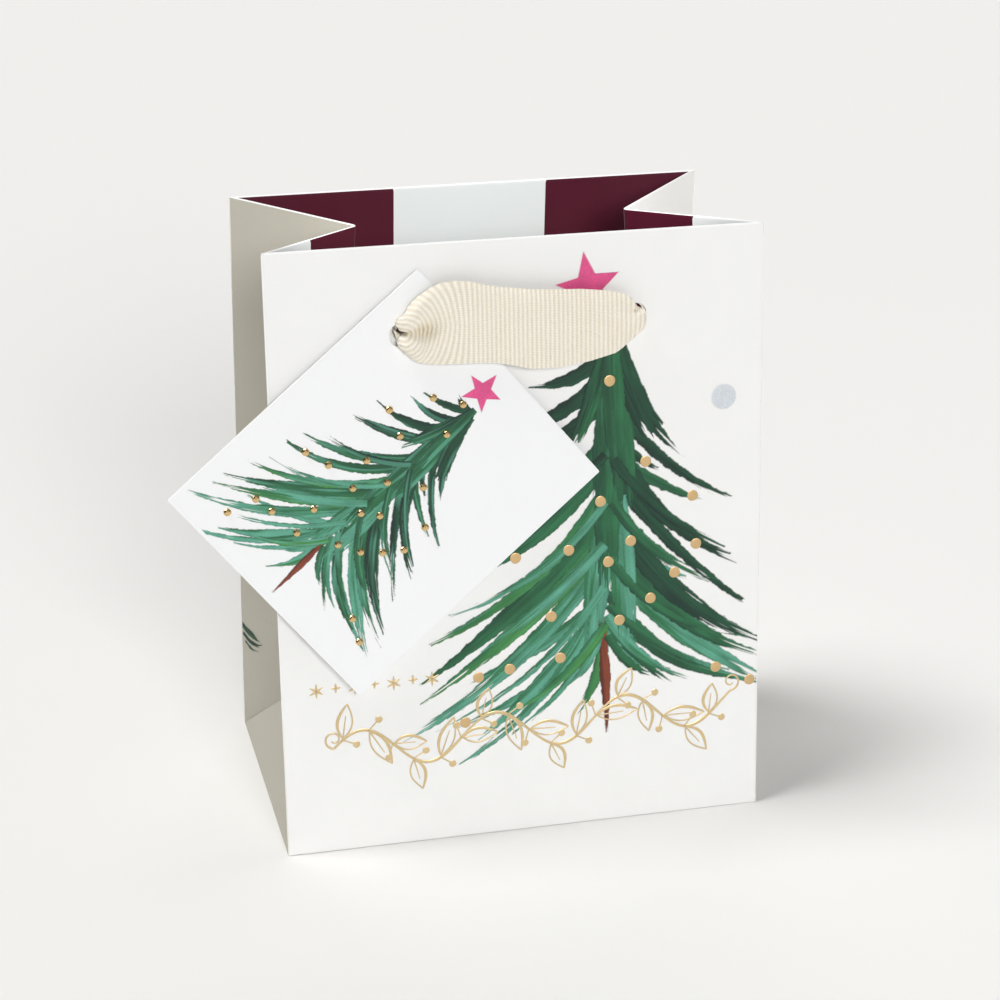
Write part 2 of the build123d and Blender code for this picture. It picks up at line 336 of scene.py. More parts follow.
def make_object(name, verts_mm, faces, mats, face_mat=None, uv=None, sharp=None, smooth=True):
    me = bpy.data.meshes.new(name)
    v = np.asarray(verts_mm, float) * 0.001
    me.from_pydata([tuple(p) for p in v], [], [tuple(int(i) for i in f) for f in faces])
    for m in mats:
        me.materials.append(m)
    if face_mat is not None:
        me.polygons.foreach_set("material_index", np.asarray(face_mat, np.int32))
    me.polygons.foreach_set("use_smooth", np.full(len(me.polygons), smooth))
    if uv is not None:
        lay = me.uv_layers.new(name="mm")
        loops = np.zeros(len(me.loops), np.int32)
        me.loops.foreach_get("vertex_index", loops)
        lay.data.foreach_set("uv", np.asarray(uv, float)[loops].astype(np.float32).ravel())
    me.update()
    if sharp is not None:
        me.set_sharp_from_angle(angle=math.radians(sharp))
    ob = bpy.data.objects.new(name, me)
    bpy.context.scene.collection.objects.link(ob)
    return ob


def grid2d(us, vs, holes=()):
    """Flat grid as 2D points and faces, counter-clockwise, with round holes cut cleanly."""
    us, vs = np.asarray(us, float), np.asarray(vs, float)
    nu, nv = len(us), len(vs)
    pts = [(u, v) for v in vs for u in us]
    keep = {}
    faces = []
    local = [[] for _ in holes]
    for j in range(nv - 1):
        for i in range(nu - 1):
            q = (j * nu + i, j * nu + i + 1, (j + 1) * nu + i + 1, (j + 1) * nu + i)
            hit = -1
            for h, (cu, cv, r) in enumerate(holes):
                m = r * 1.45
                if us[i] < cu + m and us[i + 1] > cu - m and vs[j] < cv + m and vs[j + 1] > cv - m:
                    hit = h
            if hit < 0:
                faces.append(q)
            else:
                local[hit].append(q)
    for h, (cu, cv, r) in enumerate(holes):
        ids = sorted({i for q in local[h] for i in q})
        back = {i: k for k, i in enumerate(ids)}
        count = {}
        for q in local[h]:
            for a, b in zip(q, q[1:] + q[:1]):
                k = (min(a, b), max(a, b))
                count[k] = count.get(k, 0) + 1
        outer = [k for k, c in count.items() if c == 1]
        on = {i for k in outer for i in k}
        use = [i for i in ids if i in on or math.hypot(pts[i][0] - cu, pts[i][1] - cv) > r * 1.15]
        back = {i: k for k, i in enumerate(use)}
        co = [Vector(pts[i]) for i in use]
        n = 40
        base = len(pts)
        circ = [(cu + r * math.cos(2 * math.pi * k / n), cv + r * math.sin(2 * math.pi * k / n)) for k in range(n)]
        co += [Vector(p) for p in circ]
        pts += circ
        edges = [(back[a], back[b]) for a, b in outer] + [(len(use) + k, len(use) + (k + 1) % n) for k in range(n)]
        res = delaunay_2d_cdt(co, edges, [], 0, 1e-7)
        vo, fo, orig = res[0], res[2], res[3]
        umin, umax = min(pts[i][0] for i in use), max(pts[i][0] for i in use)
        vmin, vmax = min(pts[i][1] for i in use), max(pts[i][1] for i in use)
        glob = [(use[o[0]] if o[0] < len(use) else base + o[0] - len(use)) for o in orig]
        for f in fo:
            c = sum((vo[i] for i in f), Vector((0, 0))) / len(f)
            if (c - Vector((cu, cv))).length < r * math.cos(math.pi / n) * 0.999:
                continue
            if not (umin < c.x < umax and vmin < c.y < vmax):
                continue
            g = tuple(glob[i] for i in f)
            ar = sum(pts[g[i]][0] * pts[g[(i + 1) % len(g)]][1] - pts[g[(i + 1) % len(g)]][0] * pts[g[i]][1] for i in range(len(g)))
            faces.append(g if ar > 0 else g[::-1])
    used = sorted({i for f in faces for i in f})
    back = {i: k for k, i in enumerate(used)}
    return np.array([pts[i] for i in used]), [tuple(back[i] for i in f) for f in faces]


def shell(name, p2, f2, top, bot, mats, pick=None, flip=False, sharp=40.0):
    """Closed thin sheet from a 2D net: top and bottom surfaces and a rim. mats: outside, inside, rim..."""
    n = len(p2)
    u, v = p2[:, 0], p2[:, 1]
    tv, bv = top(u, v), bot(u, v)
    faces, fm = [], []
    count = {}
    for f in f2:
        for a, b in zip(f, f[1:] + f[:1]):
            count[(a, b)] = 1
    cen = np.array([p2[list(f)].mean(0) for f in f2])
    po = pick(cen[:, 0], cen[:, 1], 0) if pick else np.zeros(len(f2), int)
    pi = pick(cen[:, 0], cen[:, 1], 1) if pick else np.ones(len(f2), int)
    for k, f in enumerate(f2):
        faces.append(f if not flip else f[::-1])
        fm.append(int(po[k]))
    for k, f in enumerate(f2):
        g = tuple(i + n for i in f)
        faces.append(g[::-1] if not flip else g)
        fm.append(int(pi[k]))
    for (a, b) in count:
        if (b, a) not in count:
            q = (b, a, a + n, b + n)
            faces.append(q if not flip else q[::-1])
            fm.append(2 if len(mats) > 2 else 0)
    uv = np.concatenate([p2, p2])
    return make_object(name, np.concatenate([tv, bv]), faces, mats, fm, uv=uv, sharp=sharp)


def spread(lo, hi, step, extra=()):
    n = max(2, int(round((hi - lo) / step)) + 1)
    v = list(np.linspace(lo, hi, n))
    for e in extra:
        if lo < e < hi and min(abs(x - e) for x in v) > 1e-6:
            near = min(v[1:-1], key=lambda x: abs(x - e)) if len(v) > 2 else None
            if near is not None and abs(near - e) < step * 0.35:
                v.remove(near)
            v.append(e)
    return sorted(v)


# ---------------------------------------------------------------- panel surfaces
def bow(a, b):
    """Slight outward belly and unevenness of the paper panel, mm."""
    k = np.cos(np.pi * np.clip(a / 127.0, -0.5, 0.5)) * np.sin(np.pi * np.clip(b / PL, 0, 1))
    return k * (0.30 + 0.16 * (noise2(a / 42.0 + 7.3, b / 50.0 + 3.1) - 0.5))


def panel(a, b, off, side=-1.0):
    a, b, off = np.broadcast_arrays(np.asarray(a, float), np.asarray(b, float), np.asarray(off, float))
    o = off + bow(a, b)
    y = -HD + b * S - o * C
    z = b * C + o * S
    if side < 0:
        return np.stack([a, y, z], -1)
    return np.stack([-a, -y, z], -1)  # the back panel is the front one turned half round


def edge_round(d, r):
    d = np.clip(d, 0, r)
    return r - np.sqrt(np.maximum(r * r - (r - d) ** 2, 0))


R_FOLD = 0.445
B_TOP = PL - R_FOLD
PANEL_US = sorted(set(
    [-63.5, -63.48, -63.42, -63.33, -63.22, 63.22, 63.33, 63.42, 63.48, 63.5] + list(np.round(spread(-62.9, 62.9, 2.6), 4))))
PANEL_VS = sorted(set([0.0, 0.02, 0.08, 0.17, 0.28] + list(np.round(spread(0.8, B_TOP, 2.6), 4))))
HOLES = [(-HOLE_X, HOLE_B, HOLE_R), (HOLE_X, HOLE_B, HOLE_R)]


def build_panel(side, who):
    p2, f2 = grid2d(PANEL_US, PANEL_VS, HOLES)

    def outer(u, v):
        return panel(u, v, -edge_round(HW - np.abs(u), T) - edge_round(v, T), side)

    def inner(u, v):
        ue = np.clip(u, -HW + 0.02, HW - 0.02)
        return panel(ue, np.maximum(v, 0.02), -T - 0.0 * v, side)

    ob = shell(f"{who}_panel_paper", p2, f2, outer, inner, [m_paper, m_inner, m_edge])
    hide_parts(f"{who}_panel")
    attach(ob, f"{who}_panel")

    # turned-in hem with its rounded top fold
    arc = math.pi * R_FOLD
    length = arc + (B_TOP - (PL - HEM_H))
    vs = sorted(set([round(arc * k / 8, 5) for k in range(9)] + [round(x, 5) for x in spread(arc + 0.6, length, 2.2)]))
    us = spread(-63.3, 63.3, 2.4, (-20.3, 21.9))
    w_hole = arc + (B_TOP - HOLE_B)
    h2, hf = grid2d(us, vs, [(-HOLE_X, w_hole, HOLE_R), (HOLE_X, w_hole, HOLE_R)])

    def profile(w, r):
        ph = np.clip(w / R_FOLD, 0, math.pi)
        b = B_TOP + r * np.sin(ph)
        off = -R_FOLD + r * np.cos(ph)
        b = b - np.maximum(w - arc, 0)
        return b, off

    def squeeze(u, w):
        k = np.clip((w - arc * 0.5) / (arc * 0.8), 0, 1)
        return u * (1 - k * (1.2 / 63.3))

    def h_out(u, w):
        b, off = profile(w, R_FOLD)
        return panel(squeeze(u, w), b, off, side)

    def h_in(u, w):
        b, off = profile(w, R_FOLD - T)
        return panel(squeeze(u, w), b, off, side)

    def pick(u, w, which):
        if which == 1:
            return np.full(len(u), 3)
        # seen from the front, the maroon and pale blocks run the same way on both panels
        uu = -u if side > 0 else u
        lo, hi = (-20.3, 21.9) if side > 0 else (-21.9, 20.3)
        pale = (uu > lo) & (uu < hi)
        base = np.where(pale, 2, 1)
        return np.where(w < arc * 0.92, 0, base)

    us2 = spread(-63.3, 63.3, 2.4, (-21.9, 20.3))
    h2, hf = grid2d(us2, vs, [(-HOLE_X, w_hole, HOLE_R), (HOLE_X, w_hole, HOLE_R)])
    hem = shell(f"{who}_hem_fold", h2, hf, h_out, h_in, [m_paper, m_maroon, m_pale, m_inner], pick)
    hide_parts(f"{who}_hem")
    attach(hem, f"{who}_panel")

    # card strip between panel and hem
    c2, cf = grid2d(spread(-60.1, 60.1, 4.0), spread(PL - 30, PL - 0.75, 3.0), HOLES)
    z0 = -T - 0.04
    card = shell(f"{who}_card_strip", c2, cf, lambda u, v: panel(u, v, z0 + 0 * u, side),
                 lambda u, v: panel(u, v, z0 - 0.22 + 0 * u, side), [m_card, m_card, m_card])
    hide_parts(f"{who}_top_stiffener")
    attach(card, f"{who}_panel")
    return ob


build_panel(-1.0, "front")
build_panel(1.0, "back")

# ---------------------------------------------------------------- side gussets
cos_top = (1 - 2 * PL * S / (2 * HD)) / C
sin_top = math.sqrt(1 - cos_top ** 2)
TIP = np.array([HW - HD * sin_top, 0.0, PL * C - HD * cos_top * S])
FOOT = np.array([HW - FOOT_IN, 0.0, FOOT_UP])


def corner_pt(s):
    s = np.asarray(s, float)
    return np.stack([np.full_like(s, HW), -HD + s * S, s * C], -1)


SPAN = PL - CREASE
R_CREASE = 1.1


def gusset_pt(u, s):
    """Outer face of the right front gusset half: u mm in from the corner edge, s mm above the cross crease."""
    u = np.asarray(u, float)
    s = np.asarray(s, float)
    A = corner_pt(CREASE + s)
    B = FOOT + (TIP - FOOT) * (s / SPAN)[..., None]
    d = B - A
    L = np.linalg.norm(d, axis=-1)
    e = d / L[..., None]
    P = A + e * u[..., None]
    # rounded centre crease
    left = np.maximum(L - u, 0)
    q = np.clip(left, 0, R_CREASE)
    bump_x = (-e[..., 0]) * ((q * q + R_CREASE * R_CREASE) / (2 * R_CREASE) - q)
    P[..., 0] += np.where(left < R_CREASE, bump_x, 0)
    # paper isn't quite flat
    belly = np.sin(np.pi * np.clip(u / L, 0, 1)) * np.sin(np.pi * np.clip(s / SPAN, 0, 1))
    P += np.stack([-e[..., 1], e[..., 0], 0 * L], -1) * (belly * (0.35 + 0.5 * (noise2(u / 24 + 2, s / 33 + 9) - 0.5)))[..., None]
    return P


def row_len(s):
    A = corner_pt(CREASE + np.asarray(s, float))
    B = FOOT + (TIP - FOOT) * (np.asarray(s, float) / SPAN)[..., None]
    return np.linalg.norm(B - A, axis=-1)


def gusset_n(u, s):
    h = 0.05
    du = gusset_pt(u + h, s) - gusset_pt(u - h, s)
    ds = gusset_pt(u, s + h) - gusset_pt(u, s - h)
    n = np.cross(du, ds)
    n /= np.linalg.norm(n, axis=-1)[..., None]
    inward = np.array([0.0, -20.0, 80.0])
    flip = np.sign(((inward - gusset_pt(u, s)) * n).sum(-1))
    return n * flip[..., None]


def place(P, side, end):
    """Mirror right front geometry to a side (+1 right, -1 left) and an end (-1 front, +1 back)."""
    P = P.copy()
    if side < 0:
        P[..., 0] *= -1
    if end > 0:
        P[..., 1] *= -1
    return P


def build_gusset(side, end):
    who = ("right" if side > 0 else "left") + "_" + ("front" if end < 0 else "back")
    flip = (side * end) > 0
    r = 0.30
    s_top = SPAN - r
    fs = [0, 0.004, 0.015] + list(np.linspace(0.05, 0.955, 22)) + [0.97, 0.978, 0.985, 0.991, 0.996, 1.0]

    def uu(f, s, u0):
        return u0 + (row_len(s) - u0) * f

    # outer sheet
    p2, f2 = grid2d(fs, spread(0.0, s_top, 2.5))

    def outer(f, s):
        u = uu(f, s, 0.16)
        return place(gusset_pt(u, s), side, end)

    def inner(f, s):
        u = uu(f, s, 0.30)
        u = np.minimum(u, row_len(s) - 0.0)
        P = gusset_pt(u, s) + gusset_n(np.minimum(u, row_len(s) - 0.06), s) * T
        P[..., 1] = np.minimum(P[..., 1], 0.0)
        return place(P, side, end)

    # the left gusset gets the paper darkened as painted shade, the right one the white paper
    ob = shell(f"{who}_gusset_paper", p2, f2, outer, inner, [m_left_side_painted_shade if side < 0 else m_side_r, m_inner, m_edge], flip=not flip)
    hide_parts(f"{who}_gusset")
    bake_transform(ob)

    # hem and top fold
    arc = math.pi * r
    length = arc + (s_top - (SPAN - HEM_H))
    ws = sorted(set([round(arc * k / 6, 5) for k in range(7)] + [round(x, 5) for x in spread(arc + 0.5, length, 2.4)]))
    cut = 23.0 if end < 0 else 31.0

    def prof(w, rad):
        ph = np.clip(w / r, 0, math.pi)
        s = s_top + rad * np.sin(ph) - np.maximum(w - arc, 0)
        off = r - rad * np.cos(ph)
        return s, off

    def hem_pt(f, w, rad):
        s, off = prof(w, rad)
        k = np.clip((w - arc * 0.5) / (arc * 0.8), 0, 1)
        u = uu(f, s, 0.16 + 1.25 * k)
        P = gusset_pt(u, s) + gusset_n(np.minimum(u, row_len(s) - 0.06), s) * off[..., None]
        P[..., 1] = np.minimum(P[..., 1], 0.0)
        return place(P, side, end)

    fcut = cut / 48.0
    fs2 = sorted(set(fs + [fcut]))
    h2, hf = grid2d(fs2, ws)

    def pick(f, w, which):
        if which == 1:
            return np.full(len(f), 3)
        base = np.where(f < fcut, 2, 1)
        return np.where(w < arc * 0.9, 0, base)

    hem = shell(f"{who}_gusset_hem_fold", h2, hf, lambda f, w: hem_pt(f, w, r), lambda f, w: hem_pt(f, w, r - T * 0.9),
                [m_paper, m_maroon, m_pale, m_inner], pick, flip=not flip)
    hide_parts(f"{who}_gusset_hem")
    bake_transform(hem)


for sd in (1, -1):
    for en in (-1, 1):
        build_gusset(sd, en)


def tri_sheet(name, A, B, Cc, n_in, gaps, mats, body, cad):
    """Flat triangular facet A-B-Cc (outer face), thickness towards n_in, corners softened, edges pulled in by gaps."""
    A, B, Cc = (np.array(p, float) for p in (A, B, Cc))
    nrm = np.cross(B - A, Cc - A)
    nrm /= np.linalg.norm(nrm)
    if nrm @ (np.array(n_in, float) - A) < 0:
        nrm = -nrm
    cen = (A + B + Cc) / 3
    N = 14
    pts, idx = [], {}
    for i in range(N + 1):
        for j in range(N + 1 - i):
            idx[(i, j)] = len(pts)
            pts.append((i / N, j / N))
    f2 = []
    for i in range(N):
        for j in range(N - i):
            f2.append((idx[(i, j)], idx[(i + 1, j)], idx[(i, j + 1)]))
            if i + j < N - 1:
                f2.append((idx[(i + 1, j)], idx[(i + 1, j + 1)], idx[(i, j + 1)]))
    p2 = np.array(pts)

    def surf(off, pull):
        def f(u, v):
            P = A + (B - A) * u[..., None] + (Cc - A) * v[..., None]
            w = np.stack([1 - u - v, u, v], -1).min(-1)
            P = P + (cen - P) * pull
            dome = np.clip(w * 3, 0, 1)
            return P + nrm * (off - 0.25 * np.sin(dome * math.pi / 2))[..., None]
        return f

    top = surf(0.0, gaps)
    bot = surf(T, gaps + 0.004)
    t0 = top(p2[:, 0], p2[:, 1])
    a, b, c = (t0[i] for i in f2[0])
    flip = np.cross(b - a, c - a) @ nrm > 0
    ob = shell(name, p2, f2, top, bot, mats, flip=flip)
    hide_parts(cad)
    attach(ob, body)
    return ob


def mir(P, side, end):
    return place(np.array([P], float), side, end)[0]


CORNER = np.array([HW, -HD, 0.0])
CROSS = corner_pt(np.array([CREASE]))[0]
for sd in (1, -1):
    sname = "right" if sd > 0 else "left"
    for en in (-1, 1):
        who = sname + "_" + ("front" if en < 0 else "back")
        # the left flanks and the left foot fold get the paper darkened as painted shade
        tri_sheet(f"{who}_flank_paper", mir(CORNER, sd, en), mir(FOOT, sd, en), mir(CROSS, sd, en), (0, 0, 20), 0.003,
                  [m_left_side_painted_shade if sd < 0 else m_side_r, m_inner, m_edge], f"{who}_flank", f"{who}_flank")
    tri_sheet(f"{sname}_foot_fold_paper", mir(CORNER, sd, -1), mir(CORNER, sd, 1), mir(FOOT, sd, -1), (0, 0, 60), 0.003,
              [m_left_side_painted_shade if sd < 0 else m_side_r, m_inner, m_edge], f"{sname}_foot_fold", f"{sname}_foot_fold")

# ---------------------------------------------------------------- painted artwork
DARK, DEEP, MID, LEAF, TEAL = srgb(16, 50, 40), srgb(28, 78, 53), srgb(42, 110, 70), srgb(70, 140, 74), srgb(92, 162, 138)
BROWN, BROWN2, PINK, GREY = srgb(96, 42, 30), srgb(140, 66, 42), srgb(226, 84, 142), srgb(205, 212, 220)


def fir_strokes(seed):
    """A plain brush-painted fir: drooping boughs laid down by rule, lowest first, then a few light
    strokes over them. Each stroke: points in panel mm, widths at start, middle and end, two colours
    across, share of teal, dryness."""
    rng = np.random.RandomState(seed)
    out = []
    tips = {-1: [(5, 121), (-4, 112), (-9, 99), (-15, 83), (-18, 66), (-22, 53), (-27, 40), (-31, 28), (-22, 21), (-9, 27), (2, 32), (11, 29)],
            1: [(34, 109), (45, 99), (54, 88), (55, 75), (59, 63), (61, 54), (66, 44), (74, 35), (58, 36), (47, 35), (38, 38), (30, 41)]}

    def tone(t, sd):
        k = t * 0.88 + (0.10 if sd < 0 else -0.12) + rng.uniform(-0.2, 0.2)
        if k < 0.30:
            return DARK, DEEP, 0.0
        if k < 0.55:
            return DEEP, MID, 0.06
        if k < 0.78:
            return (MID, LEAF, 0.2) if rng.rand() < 0.45 else (MID, TEAL, 0.35)
        return MID, TEAL, 0.6

    def bough(t, sd, wide, lift=0.0, reach=1.0, dry=None):
        tp = np.array(tips[sd], float)
        q = np.linspace(0, 1, len(tp))
        tip = np.array([np.interp(t, q, tp[:, 0]), np.interp(t, q, tp[:, 1])]) + rng.uniform(-2.6, 2.6, 2)
        st = np.array([23.6 - 2.2 * t + sd * 1.2, 131.0 - 75.0 * min(t * 1.2, 1.0) + lift]) + rng.uniform(-0.8, 0.8, 2)
        tip = st + (tip - st) * reach
        d = tip - st
        ln = np.linalg.norm(d)
        nrm = np.array([-d[1], d[0]]) / ln * (1 if sd < 0 else -1)
        mid = st + d * 0.5 + nrm * ln * rng.uniform(0.035, 0.115)
        c1, c2, teal = tone(t, sd)
        w = (wide * rng.uniform(0.8, 1.15), wide * rng.uniform(0.55, 1.25), rng.choice([0.4, 0.5, 0.7, 1.3]))
        out.append(([tuple(st), tuple(mid), tuple(tip)], w, c1, c2, teal, rng.uniform(0.3, 0.75) if dry is None else dry))

    n = 13
    for i in range(n - 1, -1, -1):
        t = (i + 0.5) / n
        wide = 3.1 + 2.3 * math.sin(math.pi * min(1.0, t * 0.85 + 0.12))
        for sd in (-1, 1):
            bough(t + rng.uniform(-0.035, 0.035), sd, wide * rng.uniform(0.75, 1.05))
        if i in (11, 8):
            out.append(([(20.6, 56.0), (21.5, 41.5), (21.9, 25.5)], (1.5, 2.9, 0.5), BROWN, BROWN2, 0.0, 0.35))
    for k, (x0, y0, x1, y1) in enumerate([(21.6, 86, 18.0, 50), (25.2, 88, 27.4, 52), (23.4, 104, 22.6, 66), (22.2, 121, 20.6, 84), (25.4, 120, 27.6, 86)]):
        c1, c2, teal = (MID, TEAL, 0.35) if k < 2 else (DEEP, MID, 0.08)
        mid = ((x0 + x1) / 2 + rng.uniform(-1, 1), (y0 + y1) / 2)
        out.append(([(x0, y0), mid, (x1, y1)], (4.5, 7.2, 4.6), c1, c2, teal, 0.5))
    for t, sd in ((0.93, -1), (0.80, -1), (0.68, -1), (0.56, -1), (0.88, 1), (0.74, 1), (0.60, 1), (0.42, -1), (0.44, 1), (0.28, -1), (0.3, 1)):
        bough(t, sd, 2.6, lift=-5.0, reach=rng.uniform(0.6, 0.95), dry=0.85)
    out.append(([(23.0, 133.0), (20.0, 120.5), (14.5, 106.0)], (2.2, 5.4, 3.2), DARK, MID, 0.0, 0.4))
    out.append(([(24.2, 133.0), (27.6, 120.0), (33.0, 107.5)], (2.2, 6.4, 5.2), DARK, DEEP, 0.0, 0.3))
    out.append(([(23.6, 134.0), (23.8, 121.0), (24.6, 104.0)], (2.4, 6.0, 5.0), DEEP, MID, 0.05, 0.4))
    return out


STROKES = fir_strokes(4)


STAR = [(98 - 72 * k + d, 8.9 * r) for k, (d, r) in enumerate([(0, 1.03), (-3, 0.96), (2, 1.0), (-2, 1.04), (3, 0.97)])]


def spline(pts, n):
    """Smooth centreline through the points."""
    P = np.array(pts, float)
    seg = np.r_[0, np.cumsum(np.linalg.norm(np.diff(P, axis=0), axis=1))]
    t = np.linspace(0, seg[-1], n)
    m = np.gradient(P, seg, axis=0)
    if len(P) == 3:
        m[0] = 2 * (P[1] - P[0]) / seg[1] - m[1]
        m[2] = 2 * (P[2] - P[1]) / (seg[2] - seg[1]) - m[1]
    k = np.clip(np.searchsorted(seg, t, side="right") - 1, 0, len(P) - 2)
    h = (seg[k + 1] - seg[k])[:, None]
    x = ((t - seg[k]) / (seg[k + 1] - seg[k]))[:, None]
    h00, h10 = 2 * x ** 3 - 3 * x ** 2 + 1, x ** 3 - 2 * x ** 2 + x
    h01, h11 = -2 * x ** 3 + 3 * x ** 2, x ** 3 - x ** 2
    return h00 * P[k] + h10 * h * m[k] + h01 * P[k + 1] + h11 * h * m[k + 1], seg[-1]


def over(img, rgb, alpha, sl):
    a = alpha[..., None]
    old = img[sl]
    out_a = a + old[..., 3:] * (1 - a)
    col = (rgb * a + old[..., :3] * old[..., 3:] * (1 - a)) / np.maximum(out_a, 1e-6)
    img[sl] = np.concatenate([col, out_a], -1)


def paint(xs, ys, strokes, tf, k, seed=0):
    """Paints strokes on a grid. tf maps panel mm to grid mm and k scales widths."""
    img = np.zeros((len(ys), len(xs), 4))
    X, Y = np.meshgrid(xs, ys)
    step = xs[1] - xs[0]
    for si, (pts, w, c1, c2, teal, dry) in enumerate(strokes):
        q = [tf(*p) for p in pts]
        n = 150
        line, L = spline(q, n)
        ww = np.interp(np.linspace(0, 1, n), [0, 0.5, 1], w) * k
        ww = np.convolve(np.pad(ww, 12, mode="edge"), np.ones(25) / 25, "valid")
        tan = np.gradient(line, axis=0)
        tan /= np.linalg.norm(tan, axis=1)[:, None]
        pad = max(ww) * 0.9 + 0.6
        i0, i1 = np.searchsorted(xs, [line[:, 0].min() - pad, line[:, 0].max() + pad])
        j0, j1 = np.searchsorted(ys, [line[:, 1].min() - pad, line[:, 1].max() + pad])
        if i1 - i0 < 2 or j1 - j0 < 2:
            continue
        sl = (slice(j0, j1), slice(i0, i1))
        px, py = X[sl].ravel(), Y[sl].ravel()
        best = np.full(len(px), 1e9)
        at = np.zeros(len(px), int)
        for c0 in range(0, n, 50):
            d = (px[:, None] - line[None, c0:c0 + 50, 0]) ** 2 + (py[:, None] - line[None, c0:c0 + 50, 1]) ** 2
            kx = d.argmin(1)
            dm = d[np.arange(len(px)), kx]
            up = dm < best
            best[up] = dm[up]
            at[up] = kx[up] + c0
        rx, ry = px - line[at, 0], py - line[at, 1]
        v_mm = tan[at, 0] * ry - tan[at, 1] * rx
        along = tan[at, 0] * rx + tan[at, 1] * ry
        s = at / (n - 1.0)
        half = ww[at] / 2
        sm = s * L + np.where((at == 0) | (at == n - 1), along, 0)
        sd = si * 17.37 + seed
        rough = (noise2(sm / (1.4 * k) + sd, sd + np.sign(v_mm) * 3.3) - 0.5) * 0.42 * k + (noise2(sm / (0.5 * k) + sd * 2, sd) - 0.5) * 0.22 * k
        edge = half + rough * np.clip(half / (0.8 * k), 0.25, 1) - np.abs(v_mm)
        streak = 0.55 * noise2(v_mm / (0.55 * k) + sd * 1.7, sm / (11.0 * k) + sd) + 0.45 * noise2(v_mm / (0.24 * k) + sd * 3.1, sm / (6.0 * k) + 5.5)
        tail = (noise2(v_mm / (0.35 * k) + sd, np.full_like(v_mm, sd * 0.31)) * 0.9 + 0.1) * (0.9 + ww[-1] * 0.55)
        end_cut = np.where(at == n - 1, tail - along, 1.0)
        start_cut = np.where(at == 0, 0.4 + half * 0.5 + along, 1.0)
        inside = np.minimum(np.minimum(edge, end_cut), start_cut)
        alpha = np.clip(inside / (step * 0.9) + 0.5, 0, 1)
        s_dry = 1 - dry * 0.75
        thr = np.interp(s, [0, max(s_dry, 0.01), 1.0], [-0.3, -0.05, 0.28 + 0.36 * dry])
        alpha = alpha * np.clip((streak - thr) * 9.0, 0, 1)
        f = np.clip(0.5 + 0.55 * v_mm / np.maximum(half, 0.2) + (streak - 0.5) * 1.5, 0, 1)[:, None]
        col = np.array(c1) * (1 - f) + np.array(c2) * f
        tv = np.clip((noise2(v_mm / (0.9 * k) + sd * 0.7, sm / (16 * k) + 1.7) - (0.72 - 0.5 * teal)) * 3.2, 0, 1)[:, None] * min(1.0, teal * 1.9)
        col = col * (1 - tv) + np.array(TEAL) * tv
        pool = np.clip(1 - (half - np.abs(v_mm)) / (0.5 * k), 0, 1)[:, None]
        col = col * (1 - 0.28 * pool)
        wash = (0.82 + 0.36 * noise2(sm / (5.0 * k) + sd, v_mm / (2.2 * k) + 4.0))[:, None]
        col = col * wash
        over(img, col.reshape(j1 - j0, i1 - i0, 3), alpha.reshape(j1 - j0, i1 - i0), sl)
    return img


def paint_star(img, xs, ys, centre, k, rgb):
    X, Y = np.meshgrid(xs, ys)
    step = xs[1] - xs[0]
    tips = []
    n = len(STAR)
    for i, (ang, r) in enumerate(STAR):
        a = math.radians(ang)
        tips.append((centre[0] + r * k * math.cos(a), centre[1] + r * k * math.sin(a)))
        mid = math.radians(ang - 36)
        tips.append((centre[0] + 3.7 * k * math.cos(mid), centre[1] + 3.7 * k * math.sin(mid)))
    P = np.array(tips)
    if np.sum(P[:, 0] * np.roll(P[:, 1], -1) - np.roll(P[:, 0], -1) * P[:, 1]) < 0:
        P = P[::-1]
    cov = np.zeros_like(X)
    for ox in (-0.33, 0, 0.33):
        for oy in (-0.33, 0, 0.33):
            x, y = X + ox * step, Y + oy * step
            ins = np.zeros(X.shape, bool)
            for i in range(len(P)):
                (x1, y1), (x2, y2) = P[i], P[(i + 1) % len(P)]
                hit = ((y1 > y) != (y2 > y)) & (x < (x2 - x1) * (y - y1) / (y2 - y1 + 1e-12) + x1)
                ins ^= hit
            cov += ins / 9.0
    tone = (0.88 + 0.24 * noise2(X / 1.6 + 3, Y / 2.4))[..., None]
    over(img, np.broadcast_to(np.array(rgb), X.shape + (3,)) * tone, cov, (slice(None), slice(None)))


def paint_disc(img, xs, ys, centre, r, rgb):
    X, Y = np.meshgrid(xs, ys)
    step = xs[1] - xs[0]
    d = np.hypot(X - centre[0], Y - centre[1])
    cov = np.clip((r - d) / step + 0.5, 0, 1) * 0.85
    tone = (0.94 + 0.12 * noise2(X / 0.8 + 3, Y / 0.8))[..., None]
    over(img, np.broadcast_to(np.array(rgb), X.shape + (3,)) * tone, cov, (slice(None), slice(None)))


